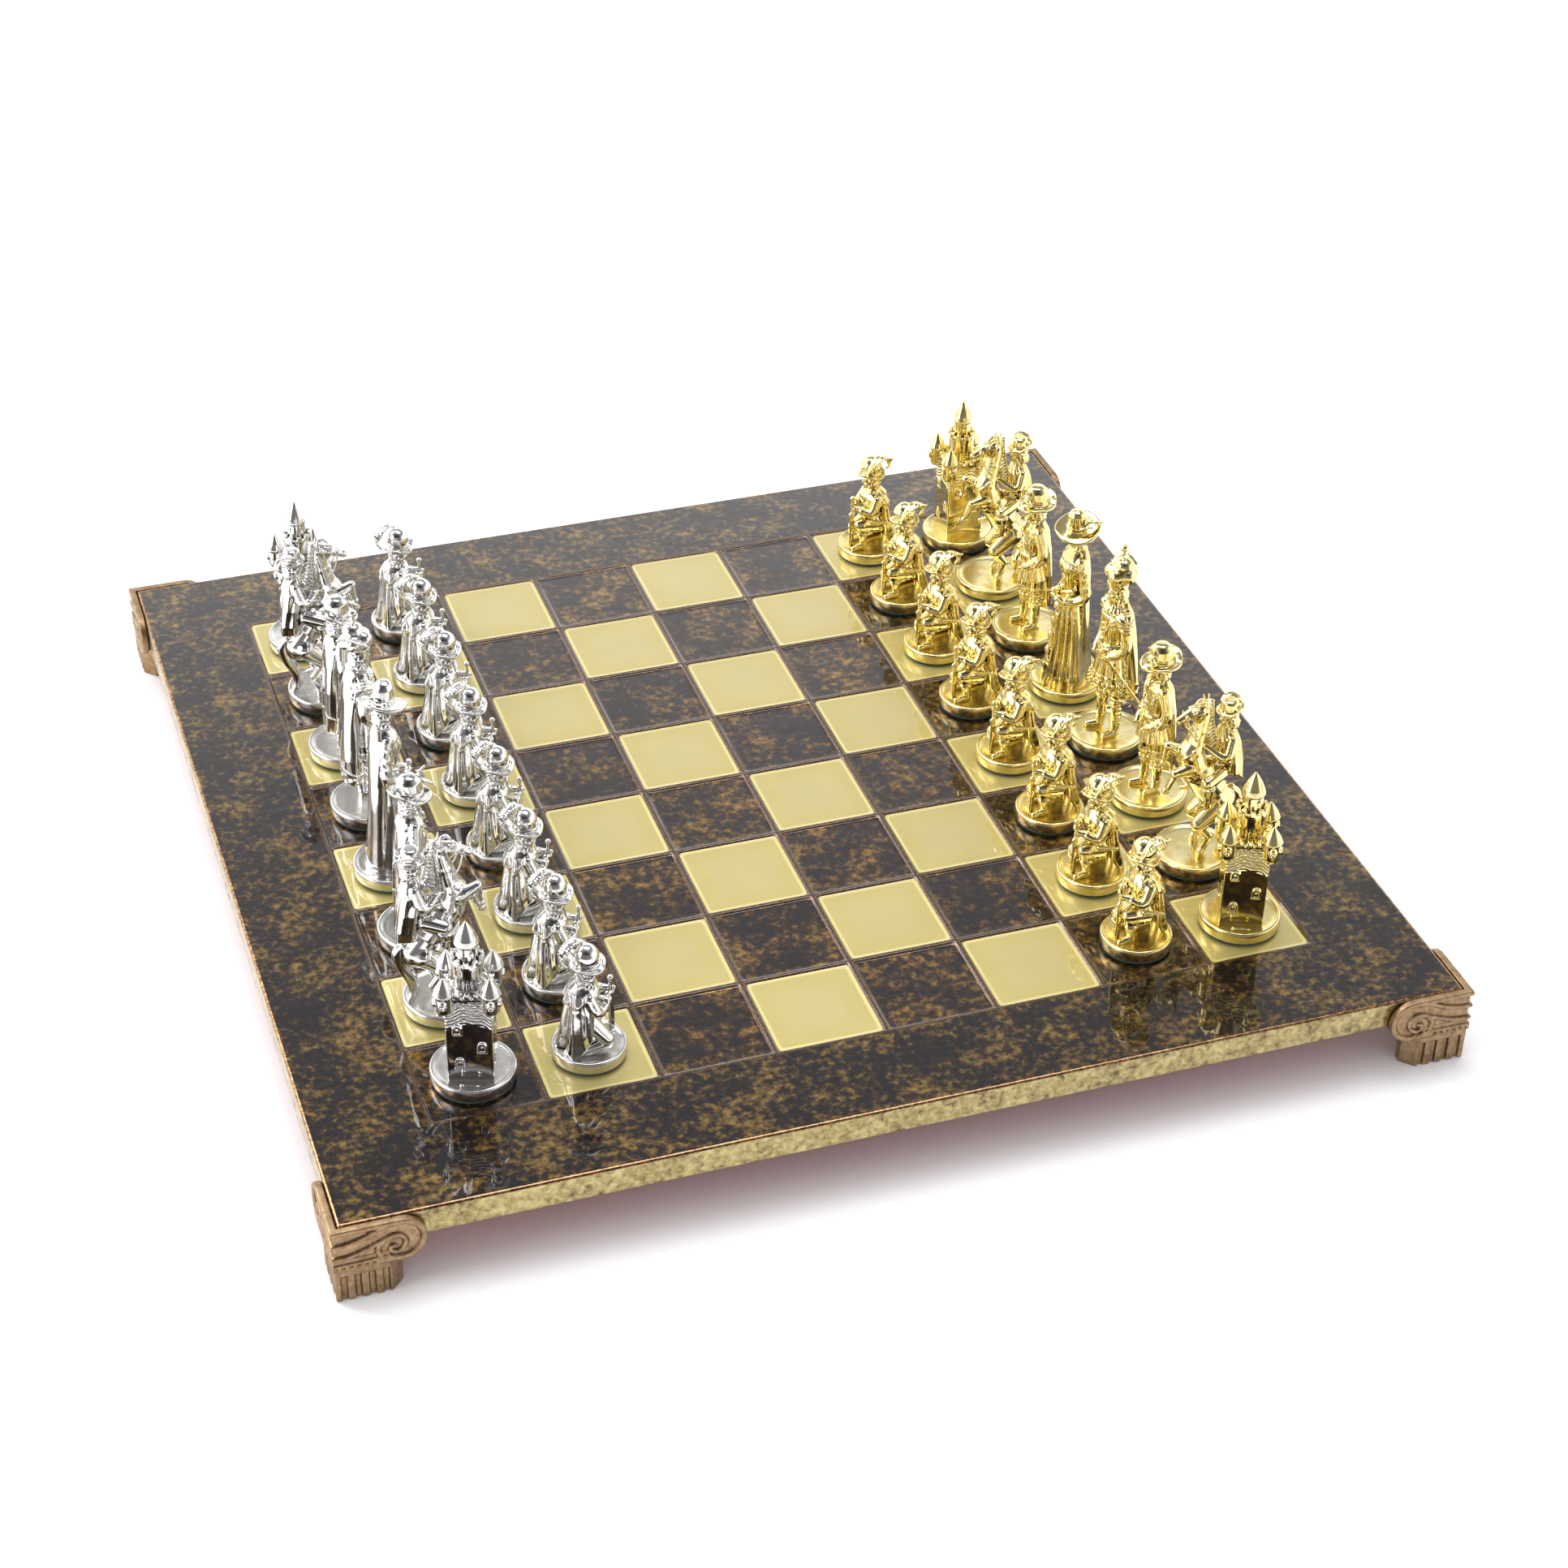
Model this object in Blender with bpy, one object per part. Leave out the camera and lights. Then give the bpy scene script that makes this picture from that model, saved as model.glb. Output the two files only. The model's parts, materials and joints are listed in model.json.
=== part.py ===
"""A chess set: a brass-faced board on four corner feet, and thirty-two cast figure men.

Metres, +Z up. The origin is on the table, under the middle of the board.
The silver men stand at -X and face +X, and the gold men stand at +X and face -X.
"""

import math

import bmesh
import bpy
from mathutils import Matrix, Vector

MM = 0.001

# ---------------------------------------------------------------- driving dimensions
SQUARES = 8
SQUARE_PITCH = 44.3 * MM
RIDGE_WIDTH = 1.6 * MM
TRAY_DEPTH = 0.8 * MM
TRAY_WALL_LEAN = 0.7 * MM
BORDER_WIDTH = 42.8 * MM
BOARD_TOP_HEIGHT = 33.0 * MM
BOARD_THICKNESS = 11.5 * MM
SHEET_THICKNESS = 1.8 * MM
SHEET_EDGE_ROUND = 1.2 * MM
FELT_THICKNESS = 1.0 * MM
GAP = 0.3 * MM

FOOT_CLASP_THICKNESS = 3.0 * MM
FOOT_SCROLL_RADIUS = 9.3 * MM
FOOT_SCROLL_REACH = 34.6 * MM
FOOT_COLUMN_LENGTH = 20.8 * MM
FOOT_COLUMN_DEPTH = 8.0 * MM
FOOT_COLUMN_SETBACK = 0.6 * MM
FOOT_END_SPLAY = 5.0 * MM
FOOT_SHELF_THICKNESS = 2.5 * MM
FOOT_SHELF_REACH = 33.0 * MM
FLUTE_COUNT = 4
FLUTE_WIDTH = 2.4 * MM
FLUTE_DEPTH = 0.9 * MM
FLUTE_SPACING = 5.05 * MM
FLUTE_START = 3.9 * MM

SCREW_SHANK_RADIUS = 1.5 * MM
SCREW_HEAD_RADIUS = 3.0 * MM
SCREW_HEAD_HEIGHT = 1.6 * MM
SCREW_GRIP_SHARE = 0.8
SCREW_SPREAD = 16.0 * MM
SCREW_SETBACK = 13.0 * MM

BASE_RADIUS = 16.2 * MM
BASE_HEIGHT = 5.8 * MM
BASE_EDGE = 1.0 * MM
BASE_SIDES = 16

PAWN_HEIGHT = 51.8 * MM
ROOK_HEIGHT = 72.5 * MM
KNIGHT_HEIGHT = 77.5 * MM
BISHOP_HEIGHT = 76.0 * MM
QUEEN_HEIGHT = 90.0 * MM
KING_HEIGHT = 96.0 * MM

# ---------------------------------------------------------------- derived sizes
PLATE_HALF = SQUARES * SQUARE_PITCH / 2 + BORDER_WIDTH
BOARD_BOTTOM = BOARD_TOP_HEIGHT - BOARD_THICKNESS
CORE_HALF = PLATE_HALF - SHEET_THICKNESS - GAP
CORE_BOTTOM = BOARD_BOTTOM + FELT_THICKNESS + GAP
CORE_TOP = BOARD_TOP_HEIGHT - SHEET_THICKNESS - GAP
SCREW_GRIP = (CORE_TOP - CORE_BOTTOM) * SCREW_GRIP_SHARE
TRAY_FLOOR = BOARD_TOP_HEIGHT - TRAY_DEPTH
FOOT_INSIDE = PLATE_HALF + GAP
FOOT_CORNER = FOOT_INSIDE + FOOT_CLASP_THICKNESS
SHELF_TOP = BOARD_BOTTOM - GAP
SHELF_BOTTOM = SHELF_TOP - FOOT_SHELF_THICKNESS
SCREW_HOLE_RADIUS = SCREW_SHANK_RADIUS + GAP
SCREW_HOLE_TOP = CORE_BOTTOM + SCREW_GRIP + GAP
MAN_FOOT = TRAY_FLOOR + GAP

FINISHES = {
    "patinated_brass": ((0.30, 0.20, 0.08), 0.25, 1.0),
    "core_board": ((0.45, 0.32, 0.20), 0.8, 0.0),
    "red_felt": ((0.45, 0.03, 0.05), 0.95, 0.0),
    "antique_bronze": ((0.42, 0.27, 0.17), 0.4, 1.0),
    "screw_steel": ((0.55, 0.55, 0.56), 0.35, 1.0),
    "bright_nickel": ((0.80, 0.80, 0.82), 0.15, 1.0),
    "polished_gold": ((0.90, 0.76, 0.38), 0.15, 1.0),
}


# ---------------------------------------------------------------- helpers
def clear_scene():
    for obj in list(bpy.data.objects):
        bpy.data.objects.remove(obj, do_unlink=True)


def finish_material(name):
    """The Principled material called name, made on its first use."""
    found = bpy.data.materials.get(name)
    if found:
        return found
    colour, roughness, metallic = FINISHES[name]
    made = bpy.data.materials.new(name)
    made.use_nodes = True
    shader = made.node_tree.nodes["Principled BSDF"]
    shader.inputs["Base Color"].default_value = (*colour, 1.0)
    shader.inputs["Roughness"].default_value = roughness
    shader.inputs["Metallic"].default_value = metallic
    return made


def mesh_from(bm, name):
    """The bmesh as mesh data, with its faces turned outwards."""
    bmesh.ops.recalc_face_normals(bm, faces=bm.faces)
    mesh = bpy.data.meshes.new(name)
    bm.to_mesh(mesh)
    bm.free()
    return mesh


def place(name, mesh, material, location=(0.0, 0.0, 0.0), turn=0.0):
    """A visible object with its own material, turned about +Z."""
    obj = bpy.data.objects.new(name, mesh)
    bpy.context.scene.collection.objects.link(obj)
    if not mesh.materials:
        mesh.materials.append(None)
    obj.material_slots[0].link = "OBJECT"
    obj.material_slots[0].material = finish_material(material)
    obj.location = location
    obj.rotation_euler = (0.0, 0.0, turn)
    return obj


def helper_object(name, mesh):
    """A hidden object that a Boolean reads."""
    obj = bpy.data.objects.new(name, mesh)
    bpy.context.scene.collection.objects.link(obj)
    obj.hide_render = True
    obj.display_type = "WIRE"
    return obj


def combine(name, meshes, cutters=(), solver="EXACT"):
    """One mesh: the union of meshes, less the cutters."""
    parts = [helper_object(f"{name}_part_{i}", mesh) for i, mesh in enumerate(meshes)]
    cuts = [helper_object(f"{name}_cut_{i}", mesh) for i, mesh in enumerate(cutters)]
    body = parts[0]
    for part in parts[1:]:
        add_boolean(body, part, "UNION", solver)
    for cut in cuts:
        add_boolean(body, cut, "DIFFERENCE", solver)
    bpy.context.view_layer.update()
    graph = bpy.context.evaluated_depsgraph_get()
    result = bpy.data.meshes.new_from_object(body.evaluated_get(graph))
    result.name = name
    for obj in parts + cuts:
        bpy.data.objects.remove(obj, do_unlink=True)
    return result


def add_boolean(body, other, operation, solver):
    modifier = body.modifiers.new(other.name, "BOOLEAN")
    modifier.operation = operation
    modifier.solver = solver
    modifier.object = other


def ring_points(centre, across, along, sides, phase=0.0):
    """Points of a level ellipse, across in X and along in Y."""
    angles = [phase + math.tau * i / sides for i in range(sides)]
    return [
        Vector((centre[0] + across * math.cos(a), centre[1] + along * math.sin(a), centre[2]))
        for a in angles
    ]


def skin_rings(bm, rings):
    """A closed tube through rings with the same number of points, with flat ends."""
    loops = [[bm.verts.new(point) for point in ring] for ring in rings]
    count = len(loops[0])
    for low, high in zip(loops, loops[1:]):
        for i in range(count):
            j = (i + 1) % count
            bm.faces.new((low[i], low[j], high[j], high[i]))
    bm.faces.new(loops[0][::-1])
    bm.faces.new(loops[-1])


def loft(name, rings, sides=8, phase=0.0):
    """A solid through level ellipses given in mm as (x, y, z, across, along)."""
    bm = bmesh.new()
    levels = [
        ring_points(Vector(ring[:3]) * MM, ring[3] * MM, ring[4] * MM, sides, phase) for ring in rings
    ]
    skin_rings(bm, levels)
    return mesh_from(bm, name)


def limb(name, path, sides=6):
    """A tapered solid along a path given in mm as (x, y, z, radius)."""
    bm = bmesh.new()
    points = [Vector(p[:3]) * MM for p in path]
    rings = []
    before = Vector((0.0, 0.0, 1.0))
    frame = before.rotation_difference(before)
    for i, point in enumerate(points):
        ahead = points[min(i + 1, len(points) - 1)] - points[max(i - 1, 0)]
        frame = before.rotation_difference(ahead) @ frame
        before = ahead
        flat = ring_points((0, 0, 0), path[i][3] * MM, path[i][3] * MM, sides)
        rings.append([point + frame @ p for p in flat])
    skin_rings(bm, rings)
    return mesh_from(bm, name)


def prism(name, outline, low, high):
    """An upright solid over an outline of (x, y) points, in metres."""
    bm = bmesh.new()
    rings = [[Vector((x, y, z)) for x, y in outline] for z in (low, high)]
    skin_rings(bm, rings)
    return mesh_from(bm, name)


def scaled_to(mesh, height):
    """Stretches what stands above the base so that the man is exactly this tall."""
    top = max(v.co.z for v in mesh.vertices)
    share = (height - BASE_HEIGHT) / (top - BASE_HEIGHT)
    for vertex in mesh.vertices:
        if vertex.co.z > BASE_HEIGHT:
            vertex.co.z = BASE_HEIGHT + (vertex.co.z - BASE_HEIGHT) * share
    return mesh


# ---------------------------------------------------------------- board
def spread_to_square(bm, edges, half, height):
    """Extrudes a loop of edges and moves the new loop onto a square at this height."""
    made = bmesh.ops.extrude_edge_only(bm, edges=edges)["geom"]
    loop = [item for item in made if isinstance(item, bmesh.types.BMVert)]
    for vert in loop:
        reach = max(abs(vert.co.x), abs(vert.co.y))
        vert.co = Vector((vert.co.x * half / reach, vert.co.y * half / reach, height))
    edges = [item for item in made if isinstance(item, bmesh.types.BMEdge)]
    return [edge for edge in edges if edge.verts[0] in loop and edge.verts[1] in loop]


def top_plate_mesh():
    """The formed sheet: trays, ridges, border and skirt, open below."""
    bm = bmesh.new()
    bmesh.ops.create_grid(
        bm, x_segments=SQUARES, y_segments=SQUARES, size=SQUARES * SQUARE_PITCH / 2,
        matrix=Matrix.Translation((0, 0, BOARD_TOP_HEIGHT)),
    )
    cells = list(bm.faces)
    bmesh.ops.inset_individual(bm, faces=cells, thickness=RIDGE_WIDTH / 2)
    bmesh.ops.inset_individual(bm, faces=cells, thickness=TRAY_WALL_LEAN, depth=-TRAY_DEPTH)
    rim = [edge for edge in bm.edges if edge.is_boundary]
    inside = PLATE_HALF - SHEET_THICKNESS
    for half, height in (
        (PLATE_HALF - SHEET_EDGE_ROUND, BOARD_TOP_HEIGHT),
        (PLATE_HALF, BOARD_TOP_HEIGHT - SHEET_EDGE_ROUND),
        (PLATE_HALF, BOARD_BOTTOM),
        (inside, BOARD_BOTTOM),
        (inside, BOARD_TOP_HEIGHT - SHEET_THICKNESS),
    ):
        rim = spread_to_square(bm, rim, half, height)
    bmesh.ops.contextual_create(bm, geom=rim)
    return mesh_from(bm, "top_plate")


def screw_places():
    """The eight screws: (corner name, letter, x, y), two inside each foot."""
    places = []
    for corner, sign_x, sign_y in corners():
        for letter, step_x, step_y in (("a", 0, 1), ("b", 1, 0)):
            x = sign_x * (FOOT_CORNER - SCREW_SETBACK - step_x * SCREW_SPREAD)
            y = sign_y * (FOOT_CORNER - SCREW_SETBACK - step_y * SCREW_SPREAD)
            places.append((corner, letter, x, y))
    return places


def corners():
    return (
        ("front_left", -1, -1),
        ("front_right", 1, -1),
        ("back_left", -1, 1),
        ("back_right", 1, 1),
    )


def drill(name, x, y, low, high):
    outline = [(p.x, p.y) for p in ring_points((x, y, 0), SCREW_HOLE_RADIUS, SCREW_HOLE_RADIUS, 8)]
    return prism(name, outline, low, high)


def square_outline(half):
    return [(-half, -half), (half, -half), (half, half), (-half, half)]


def board_panel(name, low, high, hole_top):
    """A flat square panel inside the skirt, with the screws' holes up to hole_top."""
    panel = prism(name, square_outline(CORE_HALF), low, high)
    clear = 1 * MM
    holes = [drill("hole", x, y, low - clear, hole_top) for _, _, x, y in screw_places()]
    return combine(name, [panel], holes)


def build_board():
    place("top_plate", top_plate_mesh(), "patinated_brass")
    core = board_panel("board_core", CORE_BOTTOM, CORE_TOP, SCREW_HOLE_TOP)
    place("board_core", core, "core_board")
    felt_top = BOARD_BOTTOM + FELT_THICKNESS
    felt = board_panel("underside_felt", BOARD_BOTTOM, felt_top, felt_top + 1 * MM)
    place("underside_felt", felt, "red_felt")


# ---------------------------------------------------------------- corner feet
def clasp_outline():
    """A clasp's face seen square on: (distance from the corner, height)."""
    centre = (FOOT_SCROLL_REACH - FOOT_SCROLL_RADIUS, BOARD_TOP_HEIGHT - FOOT_SCROLL_RADIUS)
    low = centre[1] - FOOT_SCROLL_RADIUS
    steps = 8
    arc = []
    for i in range(steps + 1):
        angle = math.radians(-90 + 180 * i / steps)
        arc.append(
            (
                centre[0] + FOOT_SCROLL_RADIUS * math.cos(angle),
                centre[1] + FOOT_SCROLL_RADIUS * math.sin(angle),
            )
        )
    return [(0.0, low), *arc, (0.0, BOARD_TOP_HEIGHT)]


def clasp_side(name, along_x):
    """One wall of the clasp, its outer face on the foot's outside. The corner is at 0, 0."""
    bm = bmesh.new()
    rings = []
    for depth in (0.0, FOOT_CLASP_THICKNESS):
        rings.append(
            [
                Vector((u, depth, z)) if along_x else Vector((depth, u, z))
                for u, z in clasp_outline()
            ]
        )
    skin_rings(bm, rings)
    return mesh_from(bm, name)


def fluted_side(towards_corner):
    """Outline points along one outer face of the column, with its flutes, from the corner outwards."""
    points = []
    for i in range(FLUTE_COUNT):
        start = FLUTE_START + i * FLUTE_SPACING - FLUTE_WIDTH / 2
        end = start + FLUTE_WIDTH
        inset = FLUTE_WIDTH / 4
        face = FOOT_COLUMN_SETBACK
        points += [
            (start, face),
            (start + inset, face + FLUTE_DEPTH),
            (end - inset, face + FLUTE_DEPTH),
            (end, face),
        ]
    points.append((FOOT_COLUMN_LENGTH, FOOT_COLUMN_SETBACK))
    return points[::-1] if towards_corner else points


def column_outline():
    """The fluted L-shaped column in plan, with splayed ends. The outer corner is near 0, 0."""
    face = FOOT_COLUMN_SETBACK
    inner = face + FOOT_COLUMN_DEPTH
    end = FOOT_COLUMN_LENGTH + FOOT_END_SPLAY
    along_x = fluted_side(towards_corner=False)
    along_y = [(y, x) for x, y in fluted_side(towards_corner=True)]
    return [
        (face, face), *along_x,
        (end, face + FOOT_END_SPLAY), (end, inner), (inner, inner), (inner, end),
        (face + FOOT_END_SPLAY, end), *along_y,
    ]


def shelf_outline():
    """The shelf that the board rests on, a square with its inner corner cut off."""
    near = FOOT_CLASP_THICKNESS / 2
    far = FOOT_SHELF_REACH
    cut = FOOT_SHELF_REACH - SCREW_SETBACK + GAP
    return [(near, near), (far, near), (far, cut), (cut, far), (near, far)]


def foot_mesh():
    """The front left foot, with its outer corner at 0, 0 and its bottom at z = 0."""
    parts = [
        prism("column", column_outline(), 0.0, SHELF_TOP - FOOT_SHELF_THICKNESS / 2),
        prism("shelf", shelf_outline(), SHELF_BOTTOM, SHELF_TOP),
        clasp_side("clasp_x", along_x=True),
        clasp_side("clasp_y", along_x=False),
    ]
    offset = FOOT_CORNER
    holes = [
        drill("hole", x + offset, y + offset, 0.0, BOARD_TOP_HEIGHT)
        for corner, _, x, y in screw_places()
        if corner == "front_left"
    ]
    return combine("foot", parts, holes)


def build_feet():
    """The four feet are one casting, turned by a quarter for each corner."""
    mesh = foot_mesh()
    turns = {"front_left": 0, "front_right": 1, "back_right": 2, "back_left": 3}
    for corner, sign_x, sign_y in corners():
        where = (sign_x * FOOT_CORNER, sign_y * FOOT_CORNER, 0.0)
        place(f"foot_{corner}", mesh, "antique_bronze", where, turns[corner] * math.pi / 2)


def screw_mesh():
    """A round-headed wood screw, head down, with the shelf's underside at z = 0."""
    tip = SCREW_HOLE_TOP - GAP - SHELF_BOTTOM
    levels = (
        (-GAP - SCREW_HEAD_HEIGHT, SCREW_HEAD_RADIUS * 0.7),
        (-GAP, SCREW_HEAD_RADIUS),
        (-GAP, SCREW_SHANK_RADIUS),
        (tip - 2 * SCREW_SHANK_RADIUS, SCREW_SHANK_RADIUS),
        (tip, SCREW_SHANK_RADIUS * 0.2),
    )
    bm = bmesh.new()
    skin_rings(bm, [ring_points((0, 0, z), r, r, 8) for z, r in levels])
    return mesh_from(bm, "screw")


def build_screws():
    mesh = screw_mesh()
    for corner, letter, x, y in screw_places():
        place(f"screw_{corner}_{letter}", mesh, "screw_steel", (x, y, SHELF_BOTTOM))


# ---------------------------------------------------------------- men
# Each man faces +X, and stands on z = 0. Its figure's points are in mm.
def man_base():
    """The turned disc that every man stands on, felt included."""
    levels = (
        (0.0, BASE_RADIUS - 0.3 * MM),
        (BASE_HEIGHT - BASE_EDGE, BASE_RADIUS),
        (BASE_HEIGHT, BASE_RADIUS - BASE_EDGE),
    )
    bm = bmesh.new()
    skin_rings(bm, [ring_points((0, 0, z), r, r, BASE_SIDES) for z, r in levels])
    return mesh_from(bm, "base")


def hatted_head(x, chin, brim, crown_top, brim_reach):
    """Rings of a neck, a head and a brimmed hat, to end a standing figure's loft."""
    return [
        (x - 0.4, 0, chin - 3, 2.1, 2.2),
        (x + 0.4, 0, chin + 1.2, 3.4, 3.2),
        (x, 0, brim - 0.2, 3.3, 3.2),
        (x, 0, brim, brim_reach, brim_reach),
        (x, 0, brim + 1.6, brim_reach - 0.8, brim_reach - 0.8),
        (x, 0, brim + 2.6, 4.4, 4.4),
        (x - 0.4, 0, crown_top, 3.0, 3.0),
    ]


def pawn_parts():
    """A kneeling swordsman in a plumed hat and a long cape."""
    return [
        loft("body", [(-4, 0, 4.5, 8.5, 10.5), (-4, 0, 20, 7, 9.5), (-2, 0, 32, 5, 7.5),
                      *hatted_head(0, 37, 42.8, 51.5, 8.4)], 7),
        limb("knee", [(-3, -4, 15, 4), (8, -5, 17.5, 3.4), (8.5, -5, 4.5, 3)], 4),
        limb("arms", [(-3, 0, 28, 5), (9.5, 0, 29, 2.4)], 4),
        limb("sword", [(9, 0, 4.7, 1.1), (9, 0, 35, 1.6)], 4),
        limb("plume", [(-1, -2, 48, 3), (-9, -5, 50, 2.6), (-12, -5, 45, 1.6)], 4),
    ]


def rook_parts():
    """A square keep with four corner turrets and a tall round tower."""
    half = 8.8 * math.sqrt(2)
    parts = [
        loft("keep", [(0, 0, 4.5, half + 0.25, half + 0.25), (0, 0, 42, half, half)], 4, math.pi / 4),
        loft("tower", [(0, 0, 40, 6.2, 6.2), (0, 0, 55.5, 6.5, 6.5), (0, 0, 55.6, 5, 5), (0, 0, 61, 5, 5),
                       (0, 0, 72.5, 0.5, 0.5)], 9),
    ]
    for x in (-8.6, 8.6):
        for y in (-8.6, 8.6):
            rings = [(x * 0.9, y * 0.9, 33, 1.2, 1.2), (x, y, 37, 3.6, 3.6), (x, y, 45, 4.2, 4.2),
                     (x, y, 54, 0.4, 0.4)]
            parts.append(loft("turret", rings, 6))
    return parts


def knight_parts():
    """A rearing horse with a cloaked rider."""
    return [
        limb("horse", [(-11, 0, 25, 5), (-4, 0, 33, 7), (4, 0, 45, 6.5), (5, 0, 56, 5), (2, 0, 68, 3.6),
                       (2, 0, 77.5, 1.6)], 6),
        limb("head", [(1, 0, 73.5, 3.4), (14, 0, 68.5, 2)], 4),
        limb("near_hind", [(-8, -3.5, 27, 5), (-1, -4.5, 18, 3), (-4, -4.5, 4.5, 2.2)], 4),
        limb("far_hind", [(-8, 3.5, 27, 5), (2, 4.5, 17, 3), (0, 4.5, 4.5, 2.2)], 4),
        limb("near_fore", [(3.6, -2.6, 48.4, 3.8), (17, -3.5, 53, 2.4), (17.5, -3.5, 44, 2)], 4),
        limb("far_fore", [(4.4, 2.8, 51.7, 3.5), (18, 3.5, 59, 2.4), (20.5, 3.5, 51, 2)], 4),
        limb("tail", [(-10, 0, 28, 3), (-15, 0, 20, 2.8), (-12.5, 0, 4.6, 2)], 4),
        loft("rider", [(-9, 0, 36, 6, 7.6), (-9, 0, 46, 5.5, 6), (-9, 0, 59, 4.2, 6.5),
                       *hatted_head(-9, 65, 69, 75, 5.6)], 6),
        limb("near_leg", [(-6, -5, 43, 3.6), (1.5, -8, 32, 3)], 4),
        limb("far_leg", [(-6, 5, 43, 3.6), (1.5, 8, 32, 3)], 4),
        limb("rider_arms", [(-9, 0.4, 56, 3.4), (1.6, 0.2, 59, 2.2)], 4),
    ]


def bishop_parts():
    """A standing man in a knee-length belted coat, a shoulder cape and a broad hat."""
    return [
        loft("coat", [(0, 0, 22, 6.4, 8), (0, 0, 38, 4.6, 6), (0, 0, 50, 5, 7), (0, 0, 57, 3.6, 6.4),
                      *hatted_head(0, 62, 67, 75.5, 8.2)], 7),
        loft("cape", [(-6, 0, 20, 2.6, 8), (-3.6, 0, 56, 2.6, 7)], 4),
        limb("near_leg", [(-1, -3.4, 30, 3.4), (0.5, -3.4, 4.5, 2.6)], 4),
        limb("far_leg", [(-1, 3.4, 30, 3.4), (0.5, 3.4, 4.5, 2.6)], 4),
        limb("near_arm", [(0, -6, 55, 2.8), (-0.5, -8.6, 44, 2.6), (5, -5, 38, 2)], 4),
        limb("far_arm", [(0, 6, 55, 2.8), (-0.5, 8.6, 44, 2.6), (5, 5, 38, 2)], 4),
    ]


def queen_parts():
    """A standing lady in a long gown with a veil and a wide round hat."""
    return [
        loft("gown", [(0.5, 0, 4.5, 9.5, 10), (0.5, 0, 22, 6.6, 7.4), (1, 0, 50, 3.8, 4.8),
                      (1.4, 0, 61, 4.8, 6.4), (0, 0, 69, 2.6, 5), *hatted_head(0, 74, 79.5, 89, 9.4)], 8),
        loft("veil", [(-8, 0, 4.6, 3, 8), (-2.6, 0, 68, 2.4, 5)], 4),
        limb("near_arm", [(0, -5.6, 65, 2.6), (0.5, -8.6, 51, 2.6), (8, -1, 47.5, 2)], 4),
        limb("far_arm", [(0, 5.6, 65, 2.6), (0.5, 8.6, 51, 2.6), (8, 1, 47.6, 2)], 4),
    ]


def king_parts():
    """A standing man in a doublet, a trimmed skirt, a cape and a puffed cap."""
    return [
        loft("coat", [(0, 0, 29, 7.4, 8.8), (0, 0, 46, 4.8, 6), (0, 0, 60, 5.4, 7), (0, 0, 67, 3.8, 6.6),
                      (0, 0, 71, 2.1, 2.4), (0.6, 0, 75, 3.6, 3.4), (0.4, 0, 78.6, 3.6, 3.6),
                      (-0.2, 0, 79, 6.6, 6.8),
                      (-0.5, 0, 82.5, 8.8, 9), (-0.5, 0, 87, 7.6, 7.8), (-0.5, 0, 89.5, 3, 3)], 8),
        loft("cape", [(-8, 0, 20, 2.6, 9.5), (-4, 0, 66, 3, 7)], 4),
        limb("near_leg", [(0.5, -3.6, 37, 3.8), (1, -3.8, 4.5, 2.8)], 4),
        limb("far_leg", [(-0.5, 4, 37, 3.8), (-1.5, 4.6, 4.5, 2.8)], 4),
        limb("near_arm", [(0.3, -5.2, 64, 4), (-1, -10, 54, 3), (4.5, -4.6, 47, 2.4)], 4),
        limb("far_arm", [(0.5, 5, 64.4, 4), (1.5, 9.6, 54, 3), (7, 4.2, 47, 2.6)], 4),
        limb("sword", [(5, 7.5, 48, 1.6), (-7, 9.5, 25, 1.1)], 4),
        limb("jewel", [(0, 0, 87.5, 1.9), (0, 0, 94, 1.5)], 4),
    ]


KINDS = {
    "pawn": (pawn_parts, PAWN_HEIGHT, 0.62),
    "rook": (rook_parts, ROOK_HEIGHT, 0.65),
    "knight": (knight_parts, KNIGHT_HEIGHT, 1),
    "bishop": (bishop_parts, BISHOP_HEIGHT, 1),
    "queen": (queen_parts, QUEEN_HEIGHT, 1),
    "king": (king_parts, KING_HEIGHT, 1),
}

# Back ranks from the front edge of the board to the back edge.
SILVER_RANK = ("rook", "knight", "bishop", "queen", "king", "bishop", "knight", "rook")
GOLD_RANK = ("rook", "knight", "bishop", "king", "queen", "bishop", "knight", "rook")


def lightened(mesh, share):
    """The mesh with its small faces collapsed, down to this share of them."""
    obj = helper_object("lightened", mesh)
    modifier = obj.modifiers.new("lighten", "DECIMATE")
    modifier.ratio = share
    bpy.context.view_layer.update()
    graph = bpy.context.evaluated_depsgraph_get()
    result = bpy.data.meshes.new_from_object(obj.evaluated_get(graph))
    bpy.data.objects.remove(obj, do_unlink=True)
    return result


def man_meshes():
    meshes = {}
    for kind, (parts, height, share) in KINDS.items():
        figure = combine(kind, parts(), solver="MANIFOLD")
        if share < 1:
            figure = lightened(figure, share)
        joined = combine(kind, [man_base(), figure], solver="MANIFOLD")
        meshes[kind] = scaled_to(joined, height)
    return meshes


def build_side(side, rank, meshes, finish, sign, turn):
    """One side's men: its back rank on the outermost file of squares, its pawns on the next."""
    outer = sign * SQUARE_PITCH * (SQUARES - 1) / 2
    inner = outer - sign * SQUARE_PITCH
    counts = {}
    for i, kind in enumerate(rank):
        y = SQUARE_PITCH * (i - (SQUARES - 1) / 2)
        counts[kind] = counts.get(kind, 0) + 1
        single = rank.count(kind) == 1
        name = f"{side}_{kind}" if single else f"{side}_{kind}_{counts[kind]}"
        place(name, meshes[kind], finish, (outer, y, MAN_FOOT), turn)
        place(f"{side}_pawn_{i + 1}", meshes["pawn"], finish, (inner, y, MAN_FOOT), turn)


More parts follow.
